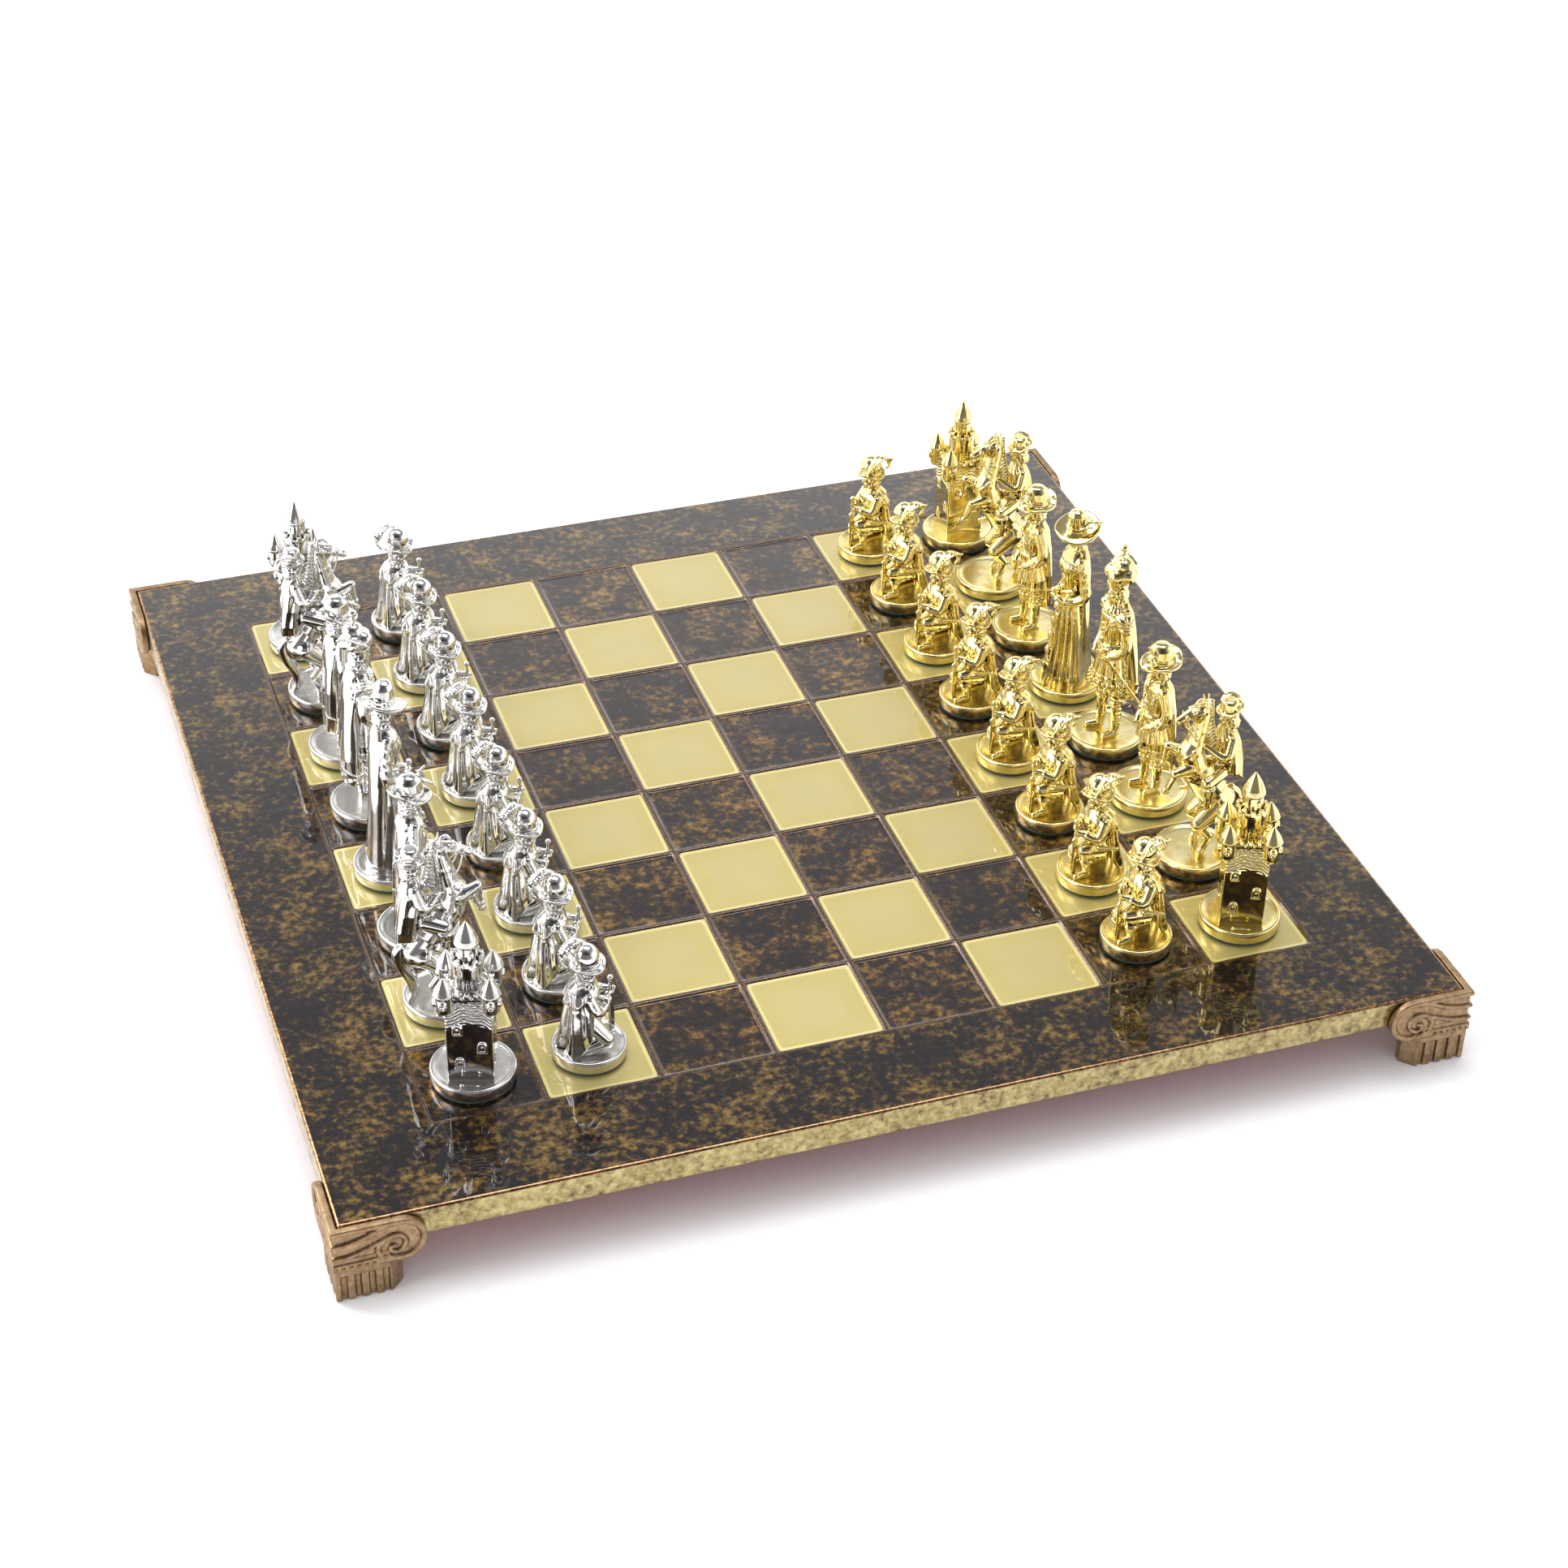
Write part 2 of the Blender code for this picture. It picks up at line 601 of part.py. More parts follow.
def build_men():
    meshes = man_meshes()
    build_side("silver", SILVER_RANK, meshes, "bright_nickel", -1, 0.0)
    build_side("gold", GOLD_RANK, meshes, "polished_gold", 1, math.pi)


clear_scene()
build_board()
build_feet()
build_screws()
build_men()
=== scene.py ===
"""The looks of the chess set: detailed cast men, formed board and feet, materials, light and camera."""

import json
import math

import bpy
import numpy as np
import openvdb
from mathutils import Euler, Matrix, Vector

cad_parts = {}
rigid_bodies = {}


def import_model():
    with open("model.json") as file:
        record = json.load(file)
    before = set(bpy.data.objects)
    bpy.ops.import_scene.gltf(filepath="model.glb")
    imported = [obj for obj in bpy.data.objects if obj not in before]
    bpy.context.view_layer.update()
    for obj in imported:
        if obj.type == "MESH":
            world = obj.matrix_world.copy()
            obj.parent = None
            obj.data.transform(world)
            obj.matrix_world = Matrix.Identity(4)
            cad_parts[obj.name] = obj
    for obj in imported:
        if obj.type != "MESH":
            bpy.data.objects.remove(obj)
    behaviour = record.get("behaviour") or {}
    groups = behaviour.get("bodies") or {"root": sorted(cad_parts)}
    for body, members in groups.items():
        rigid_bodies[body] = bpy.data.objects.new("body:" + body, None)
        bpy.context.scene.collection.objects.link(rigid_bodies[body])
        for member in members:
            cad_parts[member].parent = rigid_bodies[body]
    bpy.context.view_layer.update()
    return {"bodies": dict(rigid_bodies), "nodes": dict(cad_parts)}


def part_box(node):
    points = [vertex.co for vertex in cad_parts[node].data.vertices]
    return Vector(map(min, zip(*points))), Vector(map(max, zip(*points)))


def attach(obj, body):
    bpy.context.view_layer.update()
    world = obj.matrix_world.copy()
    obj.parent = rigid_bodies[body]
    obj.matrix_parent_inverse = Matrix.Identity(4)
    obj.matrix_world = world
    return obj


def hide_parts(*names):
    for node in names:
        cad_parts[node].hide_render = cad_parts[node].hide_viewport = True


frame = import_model()

MM = 0.001
PER_MM = 1000.0
SCENE = bpy.context.scene

# The board, as the frame gives it, in millimetres like every mesh below.
plate_low, plate_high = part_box("top_plate")
EDGE = round(plate_high.x / MM, 3)
TOP = round(plate_high.z / MM, 3)
BOTTOM = round(plate_low.z / MM, 3)
PITCH = round(abs(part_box("silver_pawn_2")[0].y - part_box("silver_pawn_1")[0].y) / MM, 3)
SQUARES = 8
PLAY = PITCH * SQUARES / 2


# ---------------------------------------------------------------- clay
# A figure is modelled in millimetres as a field of distances on a grid, facing +X with z = 0 at
# the bottom of its base. Shapes are (function, lowest corner, highest corner).
CELL = 0.35
FAR = 3.0
# how far the masks reach, in mm: the crevice mask for patina, the wider hollow mask for painted shade
CREVICE_REACH = 1.0
HOLLOW_REACH = 3.2


def smooth_min(a, b, k):
    if k <= 0:
        return np.minimum(a, b)
    h = np.maximum(k - np.abs(a - b), 0.0)
    return np.minimum(a, b) - h * h / (4 * k)


def smooth_max(a, b, k):
    return -smooth_min(-a, -b, k)


def ramp(value, low, high):
    """0 below low, 1 above high, smooth between."""
    t = np.clip((value - low) / (high - low), 0.0, 1.0)
    return t * t * (3 - 2 * t)


def turn_matrix(turn):
    """A turn of so many degrees about X, then Y, then Z."""
    return np.array(Euler([math.radians(a) for a in turn]).to_matrix())


def from_centre(x, y, z, centre, spin):
    """x, y and z counted from a shape's centre, along its own axes where it is turned."""
    q = [x - centre[0], y - centre[1], z - centre[2]]
    if spin is None:
        return q
    return [spin[0][i] * q[0] + spin[1][i] * q[1] + spin[2][i] * q[2] for i in range(3)]


class Clay:
    """A field of distances to a surface, negative inside it, that shapes are added to and cut from."""

    def __init__(self, low, high, cell=CELL):
        self.low = np.array(low, float)
        self.cell = cell
        counts = np.ceil((np.array(high, float) - self.low) / cell).astype(int) + 1
        self.d = np.full(counts, FAR, np.float32)

    def window(self, low, high, margin):
        """The part of the grid that a box covers, and the places of its cells along each axis."""
        first = np.floor((np.array(low) - margin - self.low) / self.cell).astype(int)
        last = np.ceil((np.array(high) + margin - self.low) / self.cell).astype(int) + 1
        first = np.clip(first, 0, self.d.shape)
        last = np.clip(last, 0, self.d.shape)
        part = tuple(slice(a, b) for a, b in zip(first, last))
        axes = [self.low[i] + self.cell * np.arange(first[i], last[i]) for i in range(3)]
        x = axes[0].astype(np.float32)[:, None, None]
        y = axes[1].astype(np.float32)[None, :, None]
        z = axes[2].astype(np.float32)[None, None, :]
        return part, x, y, z

    def add(self, shape, blend=0.5):
        part, x, y, z = self.window(shape[1], shape[2], blend + 1.2)
        self.d[part] = smooth_min(self.d[part], shape[0](x, y, z), blend)

    def cut(self, shape, blend=0.25):
        part, x, y, z = self.window(shape[1], shape[2], blend + 0.5)
        self.d[part] = smooth_max(self.d[part], -shape[0](x, y, z), blend)

    def push(self, low, high, how):
        """Moves the surface out by how(x, y, z) mm inside a box."""
        part, x, y, z = self.window(low, high, 0.0)
        self.d[part] = self.d[part] - how(x, y, z)

    def band(self, low, high, inside, raised=0.5, blend=0.2):
        """A raised band that follows the surface where inside(x, y, z) is negative."""
        part, x, y, z = self.window(low, high, 0.8)
        d = self.d[part]
        self.d[part] = smooth_min(d, smooth_max(d - raised, inside(x, y, z), blend), blend)

    def groove(self, low, high, inside, depth=0.5, blend=0.2):
        """A groove that follows the surface where inside(x, y, z) is negative."""
        part, x, y, z = self.window(low, high, 0.3)
        d = self.d[part]
        cut = smooth_max(d, -inside(x, y, z), blend)
        self.d[part] = smooth_min(cut, d + depth, 0.05)


def ball(centre, radii, turn=None):
    """An ellipsoid."""
    centre = np.array(centre, float)
    radii = np.array(np.broadcast_to(radii, 3), float)
    reach = radii.max() if turn else radii
    spin = turn_matrix(turn) if turn else None

    def at(x, y, z):
        q = from_centre(x, y, z, centre, spin)
        k0 = np.sqrt(sum((q[i] / radii[i]) ** 2 for i in range(3)))
        k1 = np.sqrt(sum((q[i] / radii[i] ** 2) ** 2 for i in range(3))) + 1e-6
        return k0 * (k0 - 1) / k1

    return at, centre - reach, centre + reach


def block(centre, half, turn=None, corner=0.2):
    """A box given by its half sizes, its edges rounded by corner mm."""
    centre = np.array(centre, float)
    half = np.array(half, float)
    reach = np.linalg.norm(half) if turn else half
    spin = turn_matrix(turn) if turn else None

    def at(x, y, z):
        q = from_centre(x, y, z, centre, spin)
        q = [np.abs(q[i]) - half[i] + corner for i in range(3)]
        out = np.sqrt(sum(np.maximum(v, 0) ** 2 for v in q))
        return out + np.minimum(np.maximum(np.maximum(q[0], q[1]), q[2]), 0) - corner

    return at, centre - reach, centre + reach


def limb(path, blend=0.3):
    """A tapered rod along (x, y, z, radius) points."""
    pts = np.array(path, float)

    def at(x, y, z):
        found = None
        for (ax, ay, az, ar), (bx, by, bz, br) in zip(pts, pts[1:]):
            vx, vy, vz = bx - ax, by - ay, bz - az
            length = max(vx * vx + vy * vy + vz * vz, 1e-9)
            t = np.clip(((x - ax) * vx + (y - ay) * vy + (z - az) * vz) / length, 0, 1)
            d = np.sqrt((x - ax - t * vx) ** 2 + (y - ay - t * vy) ** 2 + (z - az - t * vz) ** 2)
            d = d - (ar + t * (br - ar))
            found = d if found is None else smooth_min(found, d, blend)
        return found

    reach = pts[:, 3].max()
    return at, pts[:, :3].min(0) - reach, pts[:, :3].max(0) + reach


def curve_points(path, steps=6):
    """A smooth line through (x, y, z, radius) points."""
    pts = np.array(path, float)
    pts = np.vstack([2 * pts[0] - pts[1], pts, 2 * pts[-1] - pts[-2]])
    found = []
    for a, b, c, d in zip(pts, pts[1:], pts[2:], pts[3:]):
        for t in np.arange(steps) / steps:
            found.append(0.5 * (2 * b + (c - a) * t + (2 * a - 5 * b + 4 * c - d) * t**2
                                + (3 * b - a - 3 * c + d) * t**3))
    return np.array(found + [pts[-2]])


def bent(path, steps=5):
    """A tapered rod along a smooth line through (x, y, z, radius) points."""
    return limb(curve_points(path, steps), 0.05)


def turned(x0, y0, profile, lean=(0, 0)):
    """A solid of revolution about an upright axis, from (z, radius) points."""
    zs, rs = np.array(profile, float).T

    def at(x, y, z):
        up = z - zs[0]
        rho = np.sqrt((x - x0 - lean[0] * up) ** 2 + (y - y0 - lean[1] * up) ** 2)
        slope = np.gradient(np.interp(z.ravel(), zs, rs), z.ravel()).reshape(z.shape)
        d = (rho - np.interp(z, zs, rs)) / np.sqrt(1 + np.clip(slope, -3, 3) ** 2)
        return np.maximum(d, np.maximum(zs[0] - z, z - zs[-1]))

    reach = rs.max() + abs(zs[-1] - zs[0]) * max(abs(lean[0]), abs(lean[1]))
    return at, (x0 - reach, y0 - reach, zs[0]), (x0 + reach, y0 + reach, zs[-1])


def gown(profile, folds=None, inside=None, thick=None):
    """Cloth round an upright line, from (z, x, y, radius along X, radius along Y) points.
    folds(angle, z) adds mm to its radius; inside(x, y, z) is negative where there is cloth.
    With thick it is a hollow sheet, that many mm thick."""
    zs, xs, ys, rxs, rys = np.array(profile, float).T

    def at(x, y, z):
        dx = x - np.interp(z, zs, xs)
        dy = y - np.interp(z, zs, ys)
        rx = np.interp(z, zs, rxs)
        ry = np.interp(z, zs, rys)
        k = np.sqrt((dx / rx) ** 2 + (dy / ry) ** 2)
        rho = np.sqrt(dx * dx + dy * dy)
        edge = rho / np.maximum(k, 1e-4)
        d = rho - edge
        if folds is not None:
            angle = np.arctan2(dy / ry, dx / rx)
            d = d - folds(angle, z)
        d = d * 0.85
        if thick is not None:
            d = np.abs(d + thick / 2) - thick / 2
        d = np.maximum(d, np.maximum(zs[0] - z, z - zs[-1]))
        if inside is not None:
            d = smooth_max(d, inside(x, y, z), 0.3)
        return d

    wide = max(rxs.max(), rys.max()) + 1.5
    low = (xs.min() - wide, ys.min() - wide, zs[0])
    return at, low, (xs.max() + wide, ys.max() + wide, zs[-1])


def behind(x, y, x0=0.0, y0=0.0):
    """Degrees round an upright line from straight behind it, growing towards the figure's left."""
    return np.degrees(np.arctan2(y - y0, x0 - x))


def pleats(phase):
    """Broad round folds with narrow valleys between them, from 0 to 1."""
    wave = np.sin(phase) ** 2
    return 1.1 * wave / (wave + 0.1)


def drape(phase):
    """Soft folds, as wide as the valleys between them, from 0 to 1."""
    return 0.5 - 0.5 * np.cos(2 * phase)


def soft_folds(depth, count, turn=0.0, twist=0.0, level=0.0, fade=None):
    """A gown's soft folds, depth mm deep, twisted with height; they end between the two heights of fade."""

    def at(a, z):
        d = -depth * (1 - drape(count * (a + turn) - twist * (z - level)))
        return d if fade is None else d * ramp(z, *fade)

    return at


def scallops(level, depth, count, x0=0.0):
    """Keeps a gown's cloth that is above a scalloped hem."""
    return lambda x, y, z: level + depth * np.abs(np.sin(count * np.arctan2(y, x - x0))) - z


def open_cape(x0, lean, level, slope):
    """Keeps a gown's cloth that is behind a leaning front edge and above a slanting hem."""
    return lambda x, y, z: np.maximum(x + x0 - lean * (z - 20), level + slope * y - z)


def brim(centre, radii, thick, turn, wave):
    """A hat's brim: a thin oval disc, turned, its height changed by wave(angle) mm at its edge."""
    centre = np.array(centre, float)
    spin = turn_matrix(turn)

    def at(x, y, z):
        q = from_centre(x, y, z, centre, spin)
        angle = np.arctan2(q[1], q[0])
        share = np.sqrt((q[0] / radii[0]) ** 2 + (q[1] / radii[1]) ** 2)
        lift = wave(angle) * np.clip(share, 0, 1.2) ** 2
        flat = (share - 1) * min(radii)
        upright = np.abs(q[2] - lift) * 0.8 - thick / 2
        return smooth_max(flat, upright, thick * 0.6)

    reach = max(radii) + 4
    return at, centre - reach, centre + reach


def blurred(field, cells):
    """The mean of a field over a box that reaches this many cells each way."""
    for axis in range(3):
        pad = [(cells + 1, cells) if i == axis else (0, 0) for i in range(3)]
        total = np.cumsum(np.pad(field, pad, mode="edge"), axis=axis, dtype=np.float64)
        count = field.shape[axis]
        upper = np.take(total, np.arange(count) + 2 * cells + 1, axis=axis)
        lower = np.take(total, np.arange(count), axis=axis)
        field = ((upper - lower) / (2 * cells + 1)).astype(np.float32)
    return field


def surface_of(clay):
    """The clay's surface as points and four-sided faces, and how deep in a hollow each point is."""
    grid = openvdb.FloatGrid(FAR)
    grid.copyFromArray(clay.d)
    points, quads = grid.convertToQuads()
    inside = np.clip(0.5 - clay.d / clay.cell, 0, 1)
    near = np.clip(np.rint(points).astype(int), 0, np.array(clay.d.shape) - 1)
    spot = (near[:, 0], near[:, 1], near[:, 2])
    # crevice finds fine crevices, which the metals darken as patina; hollow finds wider hollows, which they
    # darken as painted shade
    crevice = (blurred(inside, int(round(CREVICE_REACH / clay.cell)))[spot] - 0.5) / 0.28
    hollow = (blurred(inside, int(round(HOLLOW_REACH / clay.cell)))[spot] - 0.52) / 0.30
    deep = np.clip(np.maximum(crevice, 0.9 * hollow), 0, 1)
    return points * clay.cell + clay.low, quads[:, ::-1], deep


# ---------------------------------------------------------------- parts that figures share
def head(clay, x, y, z, man=True):
    """A calm, plain face of ordinary proportions, looking along +X."""
    clay.add(limb([(x - 0.6, y, z - 5.2, 1.9), (x - 0.2, y, z - 2.5, 1.8)]), 0.6)
    clay.add(ball((x, y, z), (3.0, 2.7, 3.6)), 0.8)
    clay.add(ball((x + 0.7, y, z - 1.9), (2.2, 2.0, 2.0)), 0.6)
    for side in (-1, 1):
        clay.cut(ball((x + 3.2, y + side * 1.2, z + 0.5), (0.8, 0.8, 0.65)), 0.35)
        clay.add(ball((x + 2.45, y + side * 1.15, z + 0.45), 0.5), 0.1)
        clay.add(limb([(x + 2.9, y + side * 0.5, z + 1.25, 0.3),
                       (x + 2.2, y + side * 1.9, z + 1.3, 0.2)]), 0.2)
        if man:
            clay.add(bent([(x + 2.9, y + side * 0.2, z - 1.15, 0.38),
                           (x + 2.6, y + side * 1.3, z - 1.4, 0.34),
                           (x + 2.0, y + side * 2.3, z - 0.9, 0.15)]), 0.1)
    clay.add(limb([(x + 2.7, y, z + 1.0, 0.4), (x + 3.35, y, z - 0.4, 0.55)]), 0.25)
    clay.add(limb([(x + 2.55, y - 0.7, z - 1.95, 0.28), (x + 2.55, y + 0.7, z - 1.95, 0.28)]), 0.15)
    if man:
        clay.add(limb([(x + 2.4, y, z - 2.8, 0.55), (x + 2.7, y, z - 4.2, 0.2)]), 0.2)


def curls(clay, x, y, top, bottom, radius, size=1.05, front=75):
    """Rows of hair curls round the back of a head."""
    rows = int(round((top - bottom) / (size * 1.25))) + 1
    for row in range(rows):
        z = top - (top - bottom) * row / max(rows - 1, 1)
        for k in range(9):
            mix = math.sin(5.3 * k + 2.1 * row)
            angle = math.radians(front + (360 - 2 * front) * (k + 0.5 * (row % 2) + 0.2 * mix) / 8.5)
            reach = radius * (1.02 + 0.08 * row) + 0.3 * mix
            where = (x + reach * math.cos(angle), y + reach * math.sin(angle),
                     z + 0.5 * math.cos(3.7 * k + row))
            clay.add(ball(where, (size * 1.1, size * 1.1, size * (0.95 + 0.25 * mix))), 0.32)


def plume(clay, path, width=1.5):
    """A curled feather: a spine with pairs of soft barbs."""
    line = curve_points([(*p, 0.5) for p in path], 5)
    clay.add(limb(line, 0.05), 0.2)
    for i in range(1, len(line)):
        ahead = line[i, :3] - line[i - 1, :3]
        share = math.sin(math.pi * (0.15 + 0.8 * i / len(line)))
        side = np.cross(ahead, (0.3, 0.2, 1.0))
        side = side / (np.linalg.norm(side) + 1e-9)
        for s in (-1, 1):
            tip = line[i, :3] + s * side * width * share - ahead * 0.9
            clay.add(limb([(*line[i, :3], 0.55), (*tip, 0.42)]), 0.18)


def hand(clay, x, y, z, size=1.35):
    """A closed hand with three fingers showing."""
    clay.add(ball((x, y, z), (size, size * 0.85, size * 0.9)), 0.4)
    for k in (-1, 0, 1):
        clay.add(limb([(x + 0.4, y, z + 0.55 * k, 0.42), (x + 1.5, y - 0.1,
                                                          z + 0.5 * k - 0.3, 0.36)]), 0.12)


def lace(clay, x, y, z, radius, count=12, size=0.7):
    """A ring of small ruffles."""
    for k in range(count):
        a = 2 * math.pi * k / count
        clay.add(ball((x + radius * math.cos(a), y + radius * math.sin(a), z),
                      (size, size, size * 0.8)), 0.12)


def hilt(clay, x, y, low, high, across):
    """A sword's hilt: a grip, a curved guard and a round pommel."""
    clay.add(limb([(x, y, low, 0.75), (x, y, high - 1.5, 0.7)]), 0.2)
    for k in range(4):
        z = low + 1.2 + k * 1.1
        clay.add(turned(x, y, [(z - 0.25, 0.95), (z + 0.25, 0.95)]), 0.15)
    clay.add(ball((x, y, high), 1.25), 0.2)
    clay.add(bent([(x - 2.6 * across[0], y - 2.6 * across[1], low + 1.0, 0.7), (x, y, low, 0.75),
                   (x + 2.6 * across[0], y + 2.6 * across[1], low + 1.0, 0.7)]), 0.2)
    for s in (-1, 1):
        clay.add(ball((x + s * 3.0 * across[0], y + s * 3.0 * across[1], low + 1.5), 0.95), 0.2)


# ---------------------------------------------------------------- the six men
def pawn():
    """A page kneeling on one knee, both hands on the hilt of a sword that stands before the body."""
    c = Clay((-18, -15, 4), (16, 15, 54))
    # the cape, a thin sheet behind, its right edge drawn further forward
    cape = [(4.8, 0.2, -0.2, 13.4, 12.2), (7.5, -0.8, -0.4, 11.8, 11.2), (11, -1.6, -0.6, 9.9, 10.4),
            (16, -2.2, -0.8, 8.4, 9.6), (25, -1.8, -0.4, 7.2, 8.6), (32, -1.4, 0, 6.0, 6.8),
            (35.5, -1, 0, 3, 3.2)]

    def cape_edges(x, y, z):
        angle = behind(x, y, -1.6, -0.6)
        left = np.interp(z, (5, 10, 16, 25, 32), (31, 45, 56, 60, 80))
        right = np.interp(z, (5, 9, 18, 25, 32), (52, 78, 101, 109, 95))
        return np.maximum(angle - left, -angle - right) * 0.16

    c.add(gown(cape, soft_folds(1.5, 3.6, 0.3, -0.04, 22, (33, 22)), cape_edges, 1.5), 0.3)
    # the body, its tunic over the near thigh
    c.add(limb([(-1.6, 0, 18.5, 4.4), (-0.8, 0, 30.0, 4.6)]), 0.6)
    c.add(gown([(27, -1.0, 0, 5.4, 7.4), (31, -0.9, 0, 5.2, 7.4), (34, -0.6, 0, 3.6, 4.8),
                (36, -0.4, 0, 2.4, 2.8)]), 0.5)
    c.add(turned(-1.0, 0, [(20.6, 5.3), (22.4, 5.3)]), 0.3)
    c.add(limb([(-1.0, 4.2, 17.6, 3.5), (4.6, 5.0, 18.6, 3.3)]), 0.7)
    c.add(gown([(14.2, 1.6, 4.0, 5.8, 3.7), (18, 1.2, 3.6, 5.2, 3.5), (22, 0.4, 2.6, 4.2, 3.4)],
               lambda a, z: -0.7 * (1 - pleats(5 * a))), 0.5)
    # the capelet: long diagonal folds, its hem low and scalloped behind
    collar = [(25.0, -2.2, 0, 8.0, 9.0), (28.5, -2.0, 0, 7.5, 8.6), (31.5, -1.6, 0, 6.3, 7.6),
              (33.8, -1.0, 0, 4.4, 5.4), (36.2, -0.5, 0, 2.5, 2.9)]

    def collar_hem(x, y, z):
        angle = np.radians(behind(x, y, -1.0))
        return 31.2 - 5.0 * ramp(np.cos(angle), -0.1, 0.75) + 0.8 * np.abs(np.sin(3.5 * angle)) - z

    c.add(gown(collar, soft_folds(0.9, 3.4, 0, -0.2, 30, (35.5, 32)), collar_hem, 1.3), 0.25)
    # the near leg bent, the far one kneeling
    c.add(limb([(4.6, 5.0, 18.8, 3.1), (6.6, 5.1, 18.6, 2.7)]), 0.5)
    c.add(limb([(6.4, 5.1, 18.0, 2.4), (5.0, 5.1, 12.6, 1.9), (4.8, 5.2, 7.4, 1.6)]), 0.4)
    c.add(turned(5.0, 5.1, [(11.0, 2.1), (13.4, 2.8), (13.9, 2.7)], (0.12, 0)), 0.2)
    c.add(limb([(4.8, 5.2, 6.9, 1.7), (9.4, 5.6, 6.3, 1.25)]), 0.4)
    c.add(limb([(-0.4, -3.6, 17.4, 3.4), (5.2, -6.4, 10.6, 2.8)]), 0.7)
    c.add(limb([(5.2, -6.4, 9.0, 2.6), (-5.6, -6.8, 7.2, 1.9), (-8.6, -6.6, 6.8, 1.4)]), 0.5)
    # arms, cuffs and hands
    c.add(bent([(-1.2, -6.4, 30.4, 2.4), (1.8, -8.0, 24.6, 2.2), (7.2, -1.8, 25.2, 1.5)]), 0.4)
    c.add(bent([(-1.2, 6.4, 30.4, 2.4), (2.2, 7.9, 25.2, 2.2), (7.0, 4.2, 26.2, 1.5)]), 0.4)
    for x, y in ((5.6, -3.4), (5.6, 5.2)):
        c.add(ball((x, y, 25.5), (1.3, 2.2, 2.2), (0, 0, 35 if y < 0 else -30)), 0.2)
    hand(c, 8.0, 1.6, 25.0)
    hand(c, 8.2, 3.6, 26.4)
    # sword and its scabbard
    c.add(block((9.6, 2.9, 15.0), (1.35, 0.5, 9.0), (0, 0, 30), 0.3), 0.15)
    hilt(c, 9.4, 2.8, 23.0, 31.4, (0.6, 0.8))
    c.add(limb([(1.2, 7.6, 20.4, 0.85), (-6.4, 8.4, 18.8, 0.7)]), 0.15)
    # head, soft cap with a turned-up brim, feather
    head(c, 0.4, 0, 38.4)
    curls(c, 0.0, 0, 38.8, 34.2, 2.9)
    c.add(ball((0.0, 0.2, 45.4), (4.9, 4.8, 5.3), (0, -8, 0)), 0.3)
    c.add(turned(0.0, 0.1, [(41.6, 4.7), (43.4, 5.0)]), 0.2)

    def cap_brim(a):
        return 2.6 * ramp(np.cos(a - 0.5), 0.2, 1.0) + 1.3 * ramp(np.cos(a + 2.4), 0.2, 1.0) - 0.3

    c.add(brim((0.0, 0.0, 41.4), (6.9, 6.7), 1.15, (0, 3, 0), cap_brim), 0.25)
    plume(c, [(3.0, 3.6, 44.0), (1.0, 4.6, 48.4), (-3.4, 3.6, 51.0), (-7.8, 1.4, 49.4), (-9.4, -0.4, 45.4),
              (-8.0, -1.2, 42.6)], 2.1)
    return c


